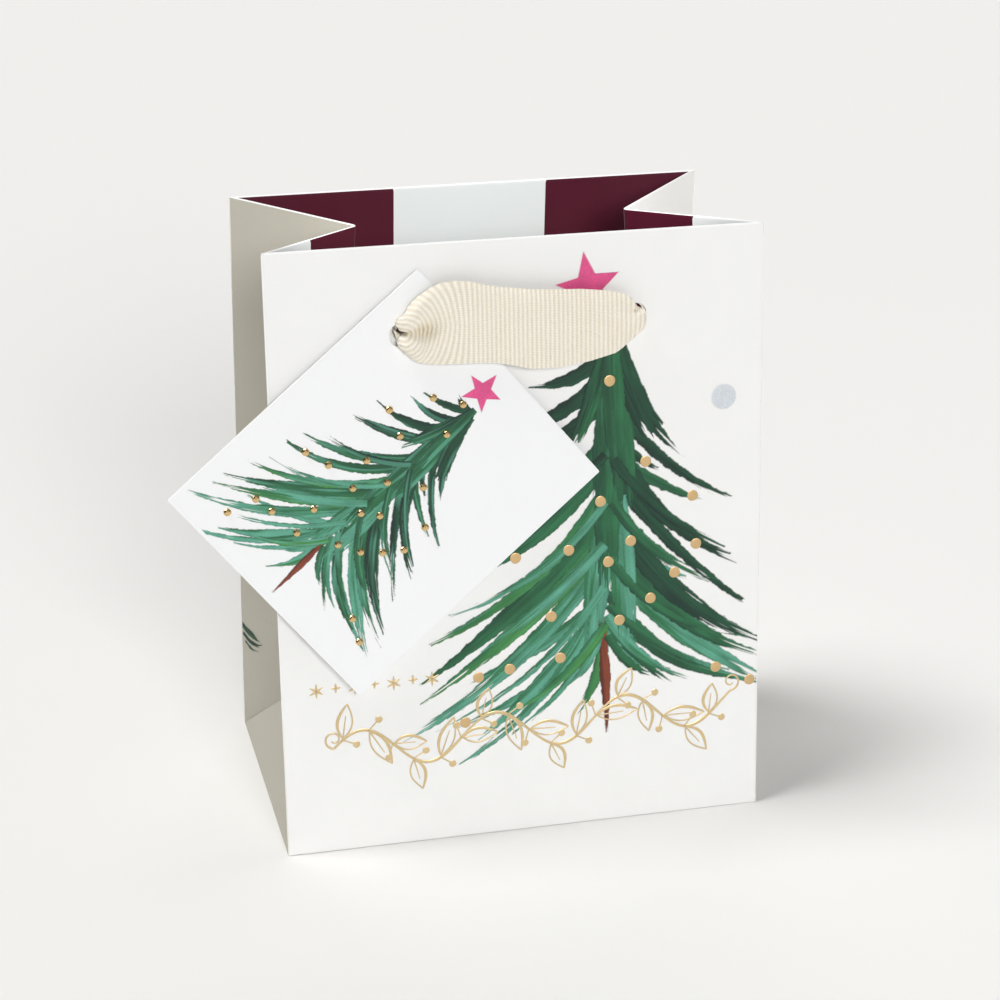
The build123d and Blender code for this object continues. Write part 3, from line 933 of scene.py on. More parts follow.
def ink_object(name, xs, ys, img, fn, mat, body, flip=False):
    a = img[..., 3]
    m = a > 0.01
    cell = m[:-1, :-1] | m[1:, :-1] | m[:-1, 1:] | m[1:, 1:]
    jj, ii = np.nonzero(cell)
    nx = len(xs)
    quad = np.stack([jj * nx + ii, jj * nx + ii + 1, (jj + 1) * nx + ii + 1, (jj + 1) * nx + ii], -1)
    if flip:
        quad = quad[:, ::-1]
    used, inv = np.unique(quad.ravel(), return_inverse=True)
    quad = inv.reshape(-1, 4)
    X, Y = np.meshgrid(xs, ys)
    P = fn(X.ravel()[used], Y.ravel()[used]) * 0.001
    me = bpy.data.meshes.new(name)
    nf = len(quad)
    me.vertices.add(len(used))
    me.vertices.foreach_set("co", P.astype(np.float32).ravel())
    me.loops.add(nf * 4)
    me.loops.foreach_set("vertex_index", quad.astype(np.int32).ravel())
    me.polygons.add(nf)
    me.polygons.foreach_set("loop_start", np.arange(0, nf * 4, 4, dtype=np.int32))
    me.update(calc_edges=True)
    me.validate()
    me.polygons.foreach_set("use_smooth", np.ones(nf, bool))
    att = me.color_attributes.new(name="ink", type="FLOAT_COLOR", domain="POINT")
    col = img.reshape(-1, 4)[used].astype(np.float32)
    att.data.foreach_set("color", col.ravel())
    me.materials.append(mat)
    ob = bpy.data.objects.new(name, me)
    bpy.context.scene.collection.objects.link(ob)
    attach(ob, body)
    return ob


def reach(strokes, dots, seed):
    """One more bough out to each gold dot that would hang beside the tree."""
    rng = np.random.RandomState(seed)
    lines = [(spline(st[0], 80)[0], np.interp(np.linspace(0, 1, 80), [0, 0.5, 1], st[1])) for st in strokes]
    out = []
    for x, y in dots:
        gap = min(float((np.hypot(l[:, 0] - x, l[:, 1] - y) - w * 0.5).min()) for l, w in lines)
        if gap < 0.2:
            continue
        sd = -1 if x < 23.3 else 1
        st = np.array([23.3 + sd * 1.0, min(132.8, y + 0.45 * abs(x - 23.3) + 3.0)])
        d = np.array([x, y]) - st
        ln = np.linalg.norm(d)
        tip = np.array([x, y]) + d / ln * rng.uniform(2.6, 4.2)
        nrm = np.array([-d[1], d[0]]) / ln * (1 if sd < 0 else -1)
        mid = st + (tip - st) * 0.5 + nrm * ln * 0.05
        tip = tip - nrm * 0.4
        c1, c2, teal = (DARK, DEEP, 0.0) if y > 92 else ((DEEP, MID, 0.06) if y > 70 else (MID, TEAL, 0.35))
        out.append(([tuple(st), tuple(mid), tuple(tip)], (3.2, rng.uniform(2.6, 3.4), 0.8), c1, c2, teal, rng.uniform(0.25, 0.5)))
    return out


FOIL_DOTS = [(23.1, 120.0), (32.5, 98.1), (45.1, 87.9), (20.5, 88.5), (28.5, 77.2), (46.1, 74.8), (12.0, 76.2), (-2.0, 75.4),
             (22.5, 72.1), (40.3, 67.5), (33.8, 61.1), (7.2, 58.7), (25.4, 55.9), (9.5, 47.1), (-4.0, 45.4), (51.8, 40.1),
             (61.2, 35.5), (-12.3, 44.0), (-16.0, 31.9)]
FRONT_STROKES = reach(STROKES, FOIL_DOTS, 2) + STROKES
STEP = 0.2
xs = np.arange(-33.0, 63.31, STEP)
ys = np.arange(17.0, 155.6, STEP)
img = paint(xs, ys, FRONT_STROKES, lambda x, y: (x, y), 1.0)
paint_star(img, xs, ys, (17.8, 144.4), 1.0, PINK)
paint_disc(img, xs, ys, (53.3, 113.5), 3.25, GREY)
ink_object("front_artwork_print", xs, ys, img, lambda u, v: panel(u, v, 0.03), m_ink, "front_panel")

# the same print on the back, on a slightly coarser net
BSTEP = 0.25
bxs = np.arange(-33.0, 63.31, BSTEP)
bys = np.arange(17.0, 155.6, BSTEP)
bimg = paint(bxs, bys, FRONT_STROKES, lambda x, y: (x, y), 1.0)
paint_star(bimg, bxs, bys, (17.8, 144.4), 1.0, PINK)
paint_disc(bimg, bxs, bys, (53.3, 113.5), 3.25, GREY)
ink_object("back_artwork_print", bxs, bys, bimg, lambda u, v: panel(u, v, 0.03, 1.0), m_ink, "back_panel")

# stroke ends of each tree run on round the corner to the gusset's lower facet
SIDE = [([(31.8, 0.9), (30.6, 4.4), (29.9, 8.6)], (1.6, 2.0, 0.4), DARK, DEEP, 0, 0.7),
        ([(29.2, 1.3), (28.0, 5.0), (29.2, 9.8)], (1.2, 1.3, 0.5), DARK, DEEP, 0, 0.7),
        ([(27.0, 2.2), (25.9, 5.5), (26.4, 9.0)], (0.9, 1.0, 0.3), DEEP, MID, 0, 0.8)]
sx = np.arange(22.0, 35.0, 0.2)
sy = np.arange(0.4, 12.0, 0.2)
simg = paint(sx, sy, SIDE, lambda x, y: (x, y), 1.0, seed=40)


def wrap_strokes(name, side, end, mat, body):
    fa, fc, ff = mir(CORNER, side, end), mir(CROSS, side, end), mir(FOOT, side, end)
    up = (fc - fa) / np.linalg.norm(fc - fa)
    out = np.cross(ff - fa, fc - fa)
    out /= np.linalg.norm(out)
    if out @ (np.array([side * 200.0, end * 100.0, 0.0]) - fa) < 0:
        out = -out
    inw = np.cross(out, up)
    if inw @ (ff - fa) < 0:
        inw = -inw
    # the print follows the facet's slight dish
    A, B, Cc = fa, ff, fc
    M = np.stack([B - A, Cc - A], -1)

    def fn(u, v):
        P = fa + u[:, None] * up + v[:, None] * inw
        bc = np.linalg.lstsq(M, (P - A).T, rcond=None)[0]
        w = np.minimum(np.minimum(1 - bc[0] - bc[1], bc[0]), bc[1])
        dome = 0.25 * np.sin(np.clip(w * 3, 0, 1) * math.pi / 2)
        return P + out * (dome + 0.04)[:, None]

    ink_object(name, sx, sy, simg, fn, mat, body)


# the left print lies on the paper darkened as painted shade
wrap_strokes("left_gusset_artwork_print", -1, 1, m_left_side_printed_painted_shade, "left_back_flank")
wrap_strokes("right_gusset_artwork_print", 1, -1, m_side_ink_r, "right_front_flank")

# ---------------------------------------------------------------- raised foil


def discs(name, centres, r, h, fn, mat, body, n=26):
    """Thin stamped discs with a soft rounded rim. fn(u, v, off) gives a surface point."""
    V, F = [], []
    rings = [(1.0, 0.0), (1.0, 0.45), (0.94, 0.85), (0.84, 1.0), (0.45, 1.0)]
    for ci, (cu, cv) in enumerate(centres):
        base = len(V)
        for (rr, hh) in rings:
            for k in range(n):
                a = 2 * math.pi * k / n
                wob = 1 + 0.02 * math.sin(3 * a + ci)
                V.append((cu + r * rr * wob * math.cos(a), cv + r * rr * wob * math.sin(a), hh * h))
        V.append((cu, cv, h))
        top = len(V) - 1
        for q in range(len(rings) - 1):
            for k in range(n):
                a, b = base + q * n + k, base + q * n + (k + 1) % n
                F.append((a, b, b + n, a + n))
        for k in range(n):
            F.append((base + (len(rings) - 1) * n + k, base + (len(rings) - 1) * n + (k + 1) % n, top))
        F.append(tuple(base + k for k in range(n))[::-1])
    V = np.array(V)
    P = fn(V[:, 0], V[:, 1], V[:, 2])
    ob = make_object(name, P, F, [mat], uv=V[:, :2], sharp=50)
    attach(ob, body)
    return ob


def foil_line(name, lines, fn, mat, body, h=0.05):
    """Raised foil lines of varying width. lines: list of (points, width function of 0..1)."""
    V, F, UV = [], [], []
    for pts, wf in lines:
        P = np.asarray(pts, float)
        n = len(P)
        tan = np.gradient(P, axis=0)
        ln = np.linalg.norm(tan, axis=1)
        tan /= np.maximum(ln, 1e-9)[:, None]
        nor = np.stack([-tan[:, 1], tan[:, 0]], -1)
        s = np.r_[0, np.cumsum(np.linalg.norm(np.diff(P, axis=0), axis=1))]
        s /= s[-1]
        w = np.array([wf(x) for x in s]) / 2
        prof = [(-1.0, 0.0), (-0.86, 0.8), (-0.45, 1.0), (0.45, 1.0), (0.86, 0.8), (1.0, 0.0)]
        base = len(V)
        m = len(prof)
        for i in range(n):
            for (t, z) in prof:
                q = P[i] + nor[i] * w[i] * t
                V.append((q[0], q[1], z * h * min(1.0, w[i] / 0.15)))
        for i in range(n - 1):
            for j in range(m - 1):
                a = base + i * m + j
                F.append((a, a + m, a + m + 1, a + 1))
            F.append((base + i * m, base + i * m + m - 1, base + (i + 1) * m + m - 1, base + (i + 1) * m))
        F.append(tuple(base + j for j in range(m)))
        F.append(tuple(base + (n - 1) * m + j for j in range(m))[::-1])
    V = np.array(V)
    ob = make_object(name, fn(V[:, 0], V[:, 1], V[:, 2]), F, [mat], uv=V[:, :2], sharp=60)
    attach(ob, body)
    return ob


def even(P, n):
    d = np.r_[0, np.cumsum(np.linalg.norm(np.diff(P, axis=0), axis=1))]
    t = np.linspace(0, d[-1], n)
    return np.stack([np.interp(t, d, P[:, 0]), np.interp(t, d, P[:, 1])], -1)


def vine():
    """A waving leafy garland: one stem, almond leaves in outline, small berries and a curl at each end."""
    lines, dots = [], []
    x = np.linspace(-50.5, 56.0, 420)
    y = 27.0 + 5.6 * np.sin((x + 52.0) / 35.0 * 2 * math.pi) + 0.03 * (x + 50)
    stem = np.stack([x, y], -1)
    lines.append((even(stem, 420), lambda q: 0.62 + 0.30 * math.sin(q * 19.0) ** 2))
    s_len = np.r_[0, np.cumsum(np.linalg.norm(np.diff(stem, axis=0), axis=1))]
    k = 0
    pos = 3.0
    while pos < s_len[-1] - 2.0:
        i = int(np.searchsorted(s_len, pos))
        p = stem[i]
        t = stem[min(i + 1, len(stem) - 1)] - stem[max(i - 1, 0)]
        t /= np.linalg.norm(t)
        sgn = 1 if k % 2 == 0 else -1
        nn = np.array([-t[1], t[0]]) * sgn
        d = t * 0.74 + nn * 0.67
        d /= np.linalg.norm(d)
        m = np.array([-d[1], d[0]])
        size = 9.4 + 1.6 * math.sin(k * 1.9)
        u = np.linspace(0, 1, 26)
        w = 1.95 * np.sin(math.pi * u ** 0.85)
        root = p + d * 0.5
        up = root + d * u[:, None] * size + m * w[:, None]
        dn = root + d * u[::-1, None] * size - m * w[::-1, None]
        lines.append((np.vstack([up, dn[1:]]), lambda q: 0.42 + 0.42 * (math.sin(math.pi * q * 2) if q < 0.5 else 0.0)))
        lines.append((root + d * np.linspace(-0.08, 0.66, 14)[:, None] * size, lambda q: 0.46 * (1 - 0.5 * q)))
        b = p - nn * 3.4 + t * 1.8
        lines.append((np.array([p + (b - p) * f for f in np.linspace(0, 0.85, 8)]), lambda q: 0.36))
        dots.append((float(b[0]), float(b[1])))
        pos += 7.4
        k += 1
    for end, way in ((stem[0], -1), (stem[-1], 1)):
        q = np.linspace(0, 1, 70)
        ang = q * 2 * math.pi * 1.15
        rad = 2.5 * (1 - 0.72 * q)
        cx, cy = end[0] + way * 0.0, end[1] + 2.5
        curl = np.stack([cx + way * rad * np.sin(ang), cy - rad * np.cos(ang)], -1)
        lines.append((curl, lambda z: 0.62 - 0.25 * z))
    return lines, dots


vine_lines, vine_dots = vine()


# a short row of little foil snow stars above the garland
row = []
for i, cx in enumerate(np.linspace(-54.5, -24.5, 7)):
    cy = 44.6 + 0.35 * (i % 2) + 0.05 * i
    r = 2.0 if i % 2 == 0 else 1.3
    for k in range(3 if i % 2 == 0 else 2):
        a = math.radians(90 + k * (60 if i % 2 == 0 else 90))
        t = np.linspace(-1, 1, 9)[:, None]
        row.append((np.array([[cx, cy]]) + t * r * np.array([[math.cos(a), math.sin(a)]]), lambda x: 0.55 * (1 - abs(2 * x - 1) ** 2) + 0.16))
for sgn, who in ((-1.0, "front"), (1.0, "back")):
    up1 = lambda u, v, o, sgn=sgn: panel(u, v, 0.02 + o, sgn)
    up2 = lambda u, v, o, sgn=sgn: panel(u, v, 0.045 + o, sgn)
    discs(f"{who}_foil_dots", FOIL_DOTS, 1.45, 0.09, up1, m_foil_dot, f"{who}_panel")
    foil_line(f"{who}_foil_garland", vine_lines, up2, m_foil, f"{who}_panel")
    discs(f"{who}_foil_berries", vine_dots, 0.95, 0.07, up2, m_foil, f"{who}_panel", n=18)
    foil_line(f"{who}_foil_snow_row", row, up1, m_foil, f"{who}_panel")

# ---------------------------------------------------------------- gift tag
ex = np.array([1.0, 0, 0])
ey = np.array([0, S, C])
ez = np.array([0, -C, S])
ti = math.radians(-1.1)
ey2 = math.cos(ti) * ey + math.sin(ti) * ez
ez2 = -math.sin(ti) * ey + math.cos(ti) * ez
org = np.array([0, -HD, 0]) + ex * -HOLE_X + ey * HOLE_B + ez * 0.9 - ey2 * 1.2
tn = math.radians(-50.5)
tx = math.cos(tn) * ex + math.sin(tn) * ey2
ty = -math.sin(tn) * ex + math.cos(tn) * ey2
TW, TH, TT = 71.0, 83.0, 0.45
HX, HY = 10.3, 13.4
# the card lies a touch to the right on the ribbon and leans out a little at its lowest corner
org = org + 0.95 * ex - 0.30 * ey2
hole_u = HX - (0.95 * ex - 0.30 * ey2) @ tx
hole_v = TH - HY - (0.95 * ex - 0.30 * ey2) @ ty


def tag_pt(x, y, off):
    """Tag point: x from its left edge, y from its bottom edge, off out of its back face."""
    x, y, off = np.broadcast_arrays(np.asarray(x, float), np.asarray(y, float), np.asarray(off, float))
    drop = -((x - HX) * float(tx @ ey2) + (y - TH + HY) * float(ty @ ey2))
    bend = 0.13 * np.sin(np.pi * np.clip(x / TW, 0, 1)) * (y / TH) + 2.6 * np.clip(drop / 91.0, 0, 1) ** 1.7
    return org + (x - HX)[..., None] * tx + (y - TH + HY)[..., None] * ty + (off + bend)[..., None] * ez2


def rounded(u, v, r=0.5):
    """Pull the square grid's corners in to a small radius."""
    du = np.minimum(u, TW - u)
    dv = np.minimum(v, TH - v)
    k = (du < r) & (dv < r)
    d = np.hypot(r - du, r - dv)
    f = np.where(k & (d > r), r / np.maximum(d, 1e-9), 1.0)
    cu = np.where(u < TW / 2, r, TW - r)
    cv = np.where(v < TH / 2, r, TH - r)
    return np.where(k, cu + (u - cu) * f, u), np.where(k, cv + (v - cv) * f, v)


tus = sorted(set([0, 0.12, 0.3, 0.5, TW - 0.5, TW - 0.3, TW - 0.12, TW] + [round(x, 4) for x in spread(1.6, TW - 1.6, 2.2)]))
tvs = sorted(set([0, 0.12, 0.3, 0.5, TH - 0.5, TH - 0.3, TH - 0.12, TH] + [round(x, 4) for x in spread(1.6, TH - 1.6, 2.2)]))
g2, gf = grid2d(tus, tvs, [(hole_u, hole_v, 3.0)])


def tag_top(u, v):
    u, v = rounded(u, v)
    e = edge_round(np.minimum(np.minimum(u, TW - u), np.minimum(v, TH - v)), 0.1)
    return tag_pt(u, v, TT - e)


def tag_bot(u, v):
    u, v = rounded(u, v)
    return tag_pt(u, v, 0.0)


tag = shell("gift_tag_card", g2, gf, tag_top, tag_bot, [m_tag, m_tag, m_edge])
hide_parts("gift_tag")
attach(tag, "tag")


def to_tag(a, b):
    return 36.1 + (a - 23.1) * 0.62, 60.9 + (b - 120.0) * 0.608


txs = np.arange(1.2, 69.8, 0.14)
tys = np.arange(1.0, 82.0, 0.14)
GEMS = [(26.8, 64.6), (33.3, 68.9), (21.4, 54.6), (28.2, 52.2), (36.1, 60.9), (14.8, 32.5), (21.2, 34.4), (27.0, 42.0), (34.8, 42.0),
        (29.8, 34.8), (42.1, 47.7), (14.9, 15.8), (20.0, 16.5), (12.5, 8.5), (26.9, 24.3), (36.0, 32.0), (39.8, 35.0), (50.1, 41.2),
        (28.4, 17.2), (37.9, 22.5), (43.3, 25.3), (47.4, 29.2), (50.7, 33.5), (54.7, 12.3), (60.4, 9.5)]
gem_ab = [(23.1 + (u - 36.1) / 0.62, 120.0 + (v - 60.9) / 0.608) for u, v in GEMS]
# the same tree on the tag, painted with more water and so a little lighter
tag_strokes = [(p, w, c1, c2, t if c1 is BROWN else min(1.0, t + 0.32), d)
               for p, w, c1, c2, t, d in reach(STROKES, gem_ab, 3) + STROKES]
timg = paint(txs, tys, tag_strokes, to_tag, 0.615, seed=5)
paint_star(timg, txs, tys, (34.3, 74.6), 0.6, PINK)
ink_object("tag_artwork_print", txs, tys, timg, lambda u, v: tag_pt(u, v, TT + 0.025), m_tag_ink, "tag")


def gems():
    V, F = [], []
    n = 8
    for gi, (gx, gy) in enumerate(GEMS):
        base = len(V)
        rot = gi * 0.71
        prof = [(1.0, 0.0), (1.02, 0.14), (0.86, 0.42), (0.5, 0.60)]
        for q, (rr, hh) in enumerate(prof):
            for k in range(n):
                a = 2 * math.pi * (k + 0.5 * (q == 2)) / n + rot
                V.append((gx + rr * math.cos(a), gy + rr * math.sin(a), TT + 0.02 + hh))
        V.append((gx, gy, TT + 0.02 + 0.64))
        top = len(V) - 1
        for q in range(3):
            for k in range(n):
                a, b = base + q * n + k, base + q * n + (k + 1) % n
                if q == 1:
                    F.append((a, b, a + n))
                    F.append((b, b + n, a + n))
                elif q == 2:
                    F.append((a, b, b + n))
                    F.append((a, b + n, a + n))
                else:
                    F.append((a, b, b + n, a + n))
        for k in range(n):
            F.append((base + 3 * n + k, base + 3 * n + (k + 1) % n, top))
        F.append(tuple(base + k for k in range(n))[::-1])
    V = np.array(V)
    ob = make_object("tag_gold_dome_dots", tag_pt(V[:, 0], V[:, 1], V[:, 2]), F, [m_gem], smooth=False)
    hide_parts("tag_gold_dots")
    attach(ob, "tag")


gems()

# ---------------------------------------------------------------- ribbon handles
RIB_TOP = [(-32.4, 138.0), (-32.0, 138.9), (-31.6, 139.6), (-30.6, 140.9), (-29.4, 142.0), (-27.6, 143.7), (-25.4, 145.6), (-23, 147.4), (-20.5, 148.6), (-17, 149.0),
           (-13, 148.5), (-9, 147.4), (-5.8, 146.7), (1.8, 145.7), (9.5, 145.1), (14.8, 144.8), (22.5, 143.8), (26.4, 142.6), (28.0, 141.4), (29.2, 139.9), (30.2, 138.8), (31.2, 137.9), (32.6, 136.8)]
RIB_BOT = [(-32.4, 135.2), (-32.0, 134.4), (-31.6, 133.7), (-30.6, 132.4), (-29.4, 131.1), (-27.6, 129.8), (-25.4, 128.8), (-23, 128.4), (-20.5, 128.3), (-17, 128.2),
           (-13, 128.1), (-9, 127.9), (-5.8, 127.5), (-2.0, 126.7), (1.8, 125.6), (9.5, 125.4), (17.2, 126.4), (23.7, 128.0), (28.9, 131.2), (31.0, 132.8), (32.4, 134.3), (33.0, 135.2)]
PITCH = 1.15


def ribbon(side, who, seed):
    xt, yt = np.array(RIB_TOP).T
    xb, yb = np.array(RIB_BOT).T
    # centre path in (a, off): out of the left hole, across, into the right hole
    left = [(-30.2, -8.6), (-30.2, -5.0), (-29.9, -2.0), (-29.8, 0.2), (-30.0, 1.3), (-30.1, 2.3), (-29.6, 3.1), (-28.4, 3.55), (-27.0, 3.6)]
    mid = [(x, 3.45 + 0.5 * math.sin(math.pi * (x + 27) / 54) + 0.12 * math.sin(x * 0.3)) for x in np.linspace(-25, 25, 26)]
    right = [(27.0, 3.4), (29.4, 3.15), (30.9, 2.6), (31.3, 1.6), (30.6, 0.2), (29.9, -2.0), (30.0, -5.0), (30.2, -8.6)]
    key = np.array(left + mid + right)
    path, L = spline([tuple(p) for p in key], 900)
    # even spacing along the path
    d = np.r_[0, np.cumsum(np.linalg.norm(np.diff(path, axis=0), axis=1))]
    NU = int(d[-1] / 0.19)
    u = np.linspace(0, d[-1], NU)
    path = np.stack([np.interp(u, d, path[:, 0]), np.interp(u, d, path[:, 1])], -1)
    tan = np.gradient(path, axis=0)
    tan /= np.linalg.norm(tan, axis=1)[:, None]
    nor = np.stack([-tan[:, 1], tan[:, 0]], -1)  # out of the panel in the span
    a, off = path[:, 0], path[:, 1]
    top = np.interp(a, xt, yt)
    bot = np.interp(a, xb, yb)
    # how far each station is bunched: 0 flat, 1 round in the hole
    bunch = np.clip((2.5 - off) / 2.4, 0, 1)
    bunch = bunch * bunch * (3 - 2 * bunch)
    NV = 61
    v = np.linspace(-1, 1, NV)
    cen = (top + bot) / 2
    half = (top - bot) / 2
    hb = cen[:, None] + half[:, None] * v[None, :]
    # distance from each end of the span
    dl = np.clip(a + 30.8, 0, None)[:, None]
    dr = np.clip(31.6 - a, 0, None)[:, None]
    gl, gr = np.exp(-(dl / 6.5) ** 2), np.exp(-(dr / 4.6) ** 2)
    bb = hb
    # left end: a closed slit that opens into a dimple, between two rounded lobes
    vb = 136.5 + 0.05 * dl
    wl = np.clip(0.50 + 0.27 * dl, 0.5, 2.9)
    deep = 1.5 * np.exp(-(dl / 3.2) ** 2) + 2.0 * np.exp(-((dl - 6.8) / 3.1) ** 2)
    nn = -deep * np.exp(-((bb - vb) / wl) ** 2)
    # painted shade in the dimple and the slits, carried into the rib attribute below
    painted_hollow_shade = np.exp(-((bb - vb) / (wl * 0.8)) ** 2) * (0.8 * np.exp(-(dl / 2.4) ** 2) + 0.55 * np.exp(-((dl - 6.4) / 2.8) ** 2))
    up = np.clip((bb - vb) / np.maximum(top[:, None] - vb, 0.5), 0, 1)
    dn = np.clip((vb - bb) / np.maximum(vb - bot[:, None], 0.5), 0, 1)
    nn += gl * (1.25 * np.sin(np.pi * up) + 0.95 * np.sin(np.pi * dn))
    # right end: the upper edge curls under, leaving a short slit painted dark as shade, and the rest rolls into the
    # hole
    vr = 138.6 - 0.10 * dr
    painted_hollow_shade = painted_hollow_shade + 0.8 * np.exp(-(dr / 2.2) ** 2) * np.exp(-((bb - vr) / 0.45) ** 2)
    nn -= 1.5 * np.exp(-(dr / 2.6) ** 2) * np.exp(-((bb - vr) / 0.55) ** 2)
    nn += gr * 0.8 * np.sin(np.pi * np.clip((bb - bot[:, None]) / np.maximum(vr - bot[:, None], 0.5), 0, 1))
    edge = np.clip((np.abs(v)[None, :] - 0.74) / 0.26, 0, 1) ** 2
    nn -= edge * (0.30 + 1.5 * gl + 1.3 * gr)
    nn += 0.22 * (noise2(a[:, None] / 9.0 + seed, v[None, :] * 1.6 + 4.0) - 0.5)
    # bunched section: a crumpled ring
    ang = v[None, :] * math.pi * 0.97 + 0.35 * np.sin(3 * v[None, :])
    rad = 1.50 + 0.26 * np.cos(ang * 5.0 + 1.0)
    rb = HOLE_B - 0.45 * np.clip(a / 20.0, 0, 1)[:, None] + rad * np.sin(ang)
    rn = -rad * np.cos(ang) + 0.15
    w = bunch[:, None]
    B = hb * (1 - w) + rb * w
    N = nn * (1 - w) + rn * w
    A3 = a[:, None] + nor[:, 0][:, None] * N
    O3 = off[:, None] + nor[:, 1][:, None] * N
    O3 = np.where(w < 0.05, np.maximum(O3, 1.75), O3)

    def surf(A, Bc, O):
        # no panel bow here: the legs stay centred in the holes
        y = -HD + Bc * S - O * C
        z = Bc * C + O * S
        if side < 0:
            return np.stack([A, y, z], -1)
        return np.stack([-A, -y, z], -1)

    P = surf(A3, B, O3)
    # cloth length along each thread, from the middle outwards
    seg = np.linalg.norm(np.diff(P, axis=0), axis=2)
    ell = np.vstack([np.zeros(NV), np.cumsum(seg, axis=0)])
    ell -= ell[NU // 2][None, :]
    across = np.r_[0, np.cumsum(np.linalg.norm(np.diff(P[NU // 2], axis=0), axis=1))]
    du = np.gradient(P, axis=0)
    dv = np.gradient(P, axis=1)
    nrm = np.cross(du, dv)
    nrm /= np.maximum(np.linalg.norm(nrm, axis=2), 1e-9)[..., None]
    if side < 0 and nrm[NU // 2, NV // 2, 1] > 0 or side > 0 and nrm[NU // 2, NV // 2, 1] < 0:
        nrm = -nrm
    # the ribs fan round the dimple, because the middle of the ribbon has sunk into it
    q = np.clip((-11.0 - a) / 17.0, 0, 1)
    lag = 5.4 * (q * q * (3 - 2 * q))[:, None] * np.abs(v[None, :] + 0.05) ** 1.35
    q = np.clip((a - 22.0) / 9.0, 0, 1)
    lag_r = 1.2 * (q * q)[:, None] * (v[None, :] * 0.5 + 0.5)
    show = ell[:, NV // 2][:, None] + lag - lag_r
    wave = np.cos(2 * math.pi * show / PITCH)
    rib = 0.5 + 0.5 * wave
    rib = rib ** 0.8
    amp = 0.095 * (1 - 0.5 * bunch[:, None])
    # woven edge cords
    sel = np.clip((np.abs(v)[None, :] - 0.955) / 0.045, 0, 1)
    lift = amp * (rib - 0.5) * 2 * (1 - 0.5 * sel) + 0.05 * sel
    thick = 0.17
    out = P + nrm * (thick + lift)[..., None]
    inn = P - nrm * (thick - lift * -1.0)[..., None]
    V = np.concatenate([out.reshape(-1, 3), inn.reshape(-1, 3)])
    idx = np.arange(NU * NV).reshape(NU, NV)
    q = np.stack([idx[:-1, :-1], idx[1:, :-1], idx[1:, 1:], idx[:-1, 1:]], -1).reshape(-1, 4)
    n = NU * NV
    p0, p1, p2, p3 = (V[q[0][k]] for k in range(4))
    mid_q = q[(NU // 2) * (NV - 1) + NV // 2]
    fnrm = np.cross(V[mid_q[1]] - V[mid_q[0]], V[mid_q[2]] - V[mid_q[0]])
    good = fnrm @ nrm[NU // 2, NV // 2] > 0
    faces = [tuple(x) for x in (q if good else q[:, ::-1])] + [tuple(x) for x in ((q + n)[:, ::-1] if good else q + n)]
    loop = list(idx[0, :]) + list(idx[1:, -1]) + list(idx[-1, -2::-1]) + list(idx[-2:0:-1, 0])
    for i in range(len(loop)):
        x, y = loop[i], loop[(i + 1) % len(loop)]
        f = (x, y, y + n, x + n)
        faces.append(f)
    uv = np.stack([np.broadcast_to(ell, (NU, NV)), np.broadcast_to(across[None, :], (NU, NV))], -1).reshape(-1, 2)
    ob = make_object(f"{who}_ribbon", V, faces, [m_ribbon], uv=np.concatenate([uv, uv]), sharp=70)
    bm_fix(ob)
    # rib attribute: painted shade, darker in the grooves between ribs and much darker in the end dimple and slits
    att = ob.data.attributes.new("rib", "FLOAT", "POINT")
    tone = rib * (1 - 0.2 * bunch[:, None]) - 1.35 * painted_hollow_shade * (1 - bunch[:, None])
    att.data.foreach_set("value", np.concatenate([tone.ravel(), tone.ravel()]).astype(np.float32))
    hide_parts(f"{who}_handle_ribbon")
    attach(ob, f"{who}_handle")
    length = float(d[-1])
    return ob, length


def bm_fix(ob):
    import bmesh
    bm = bmesh.new()
    bm.from_mesh(ob.data)
    bmesh.ops.recalc_face_normals(bm, faces=bm.faces)
    bm.to_mesh(ob.data)
    bm.free()


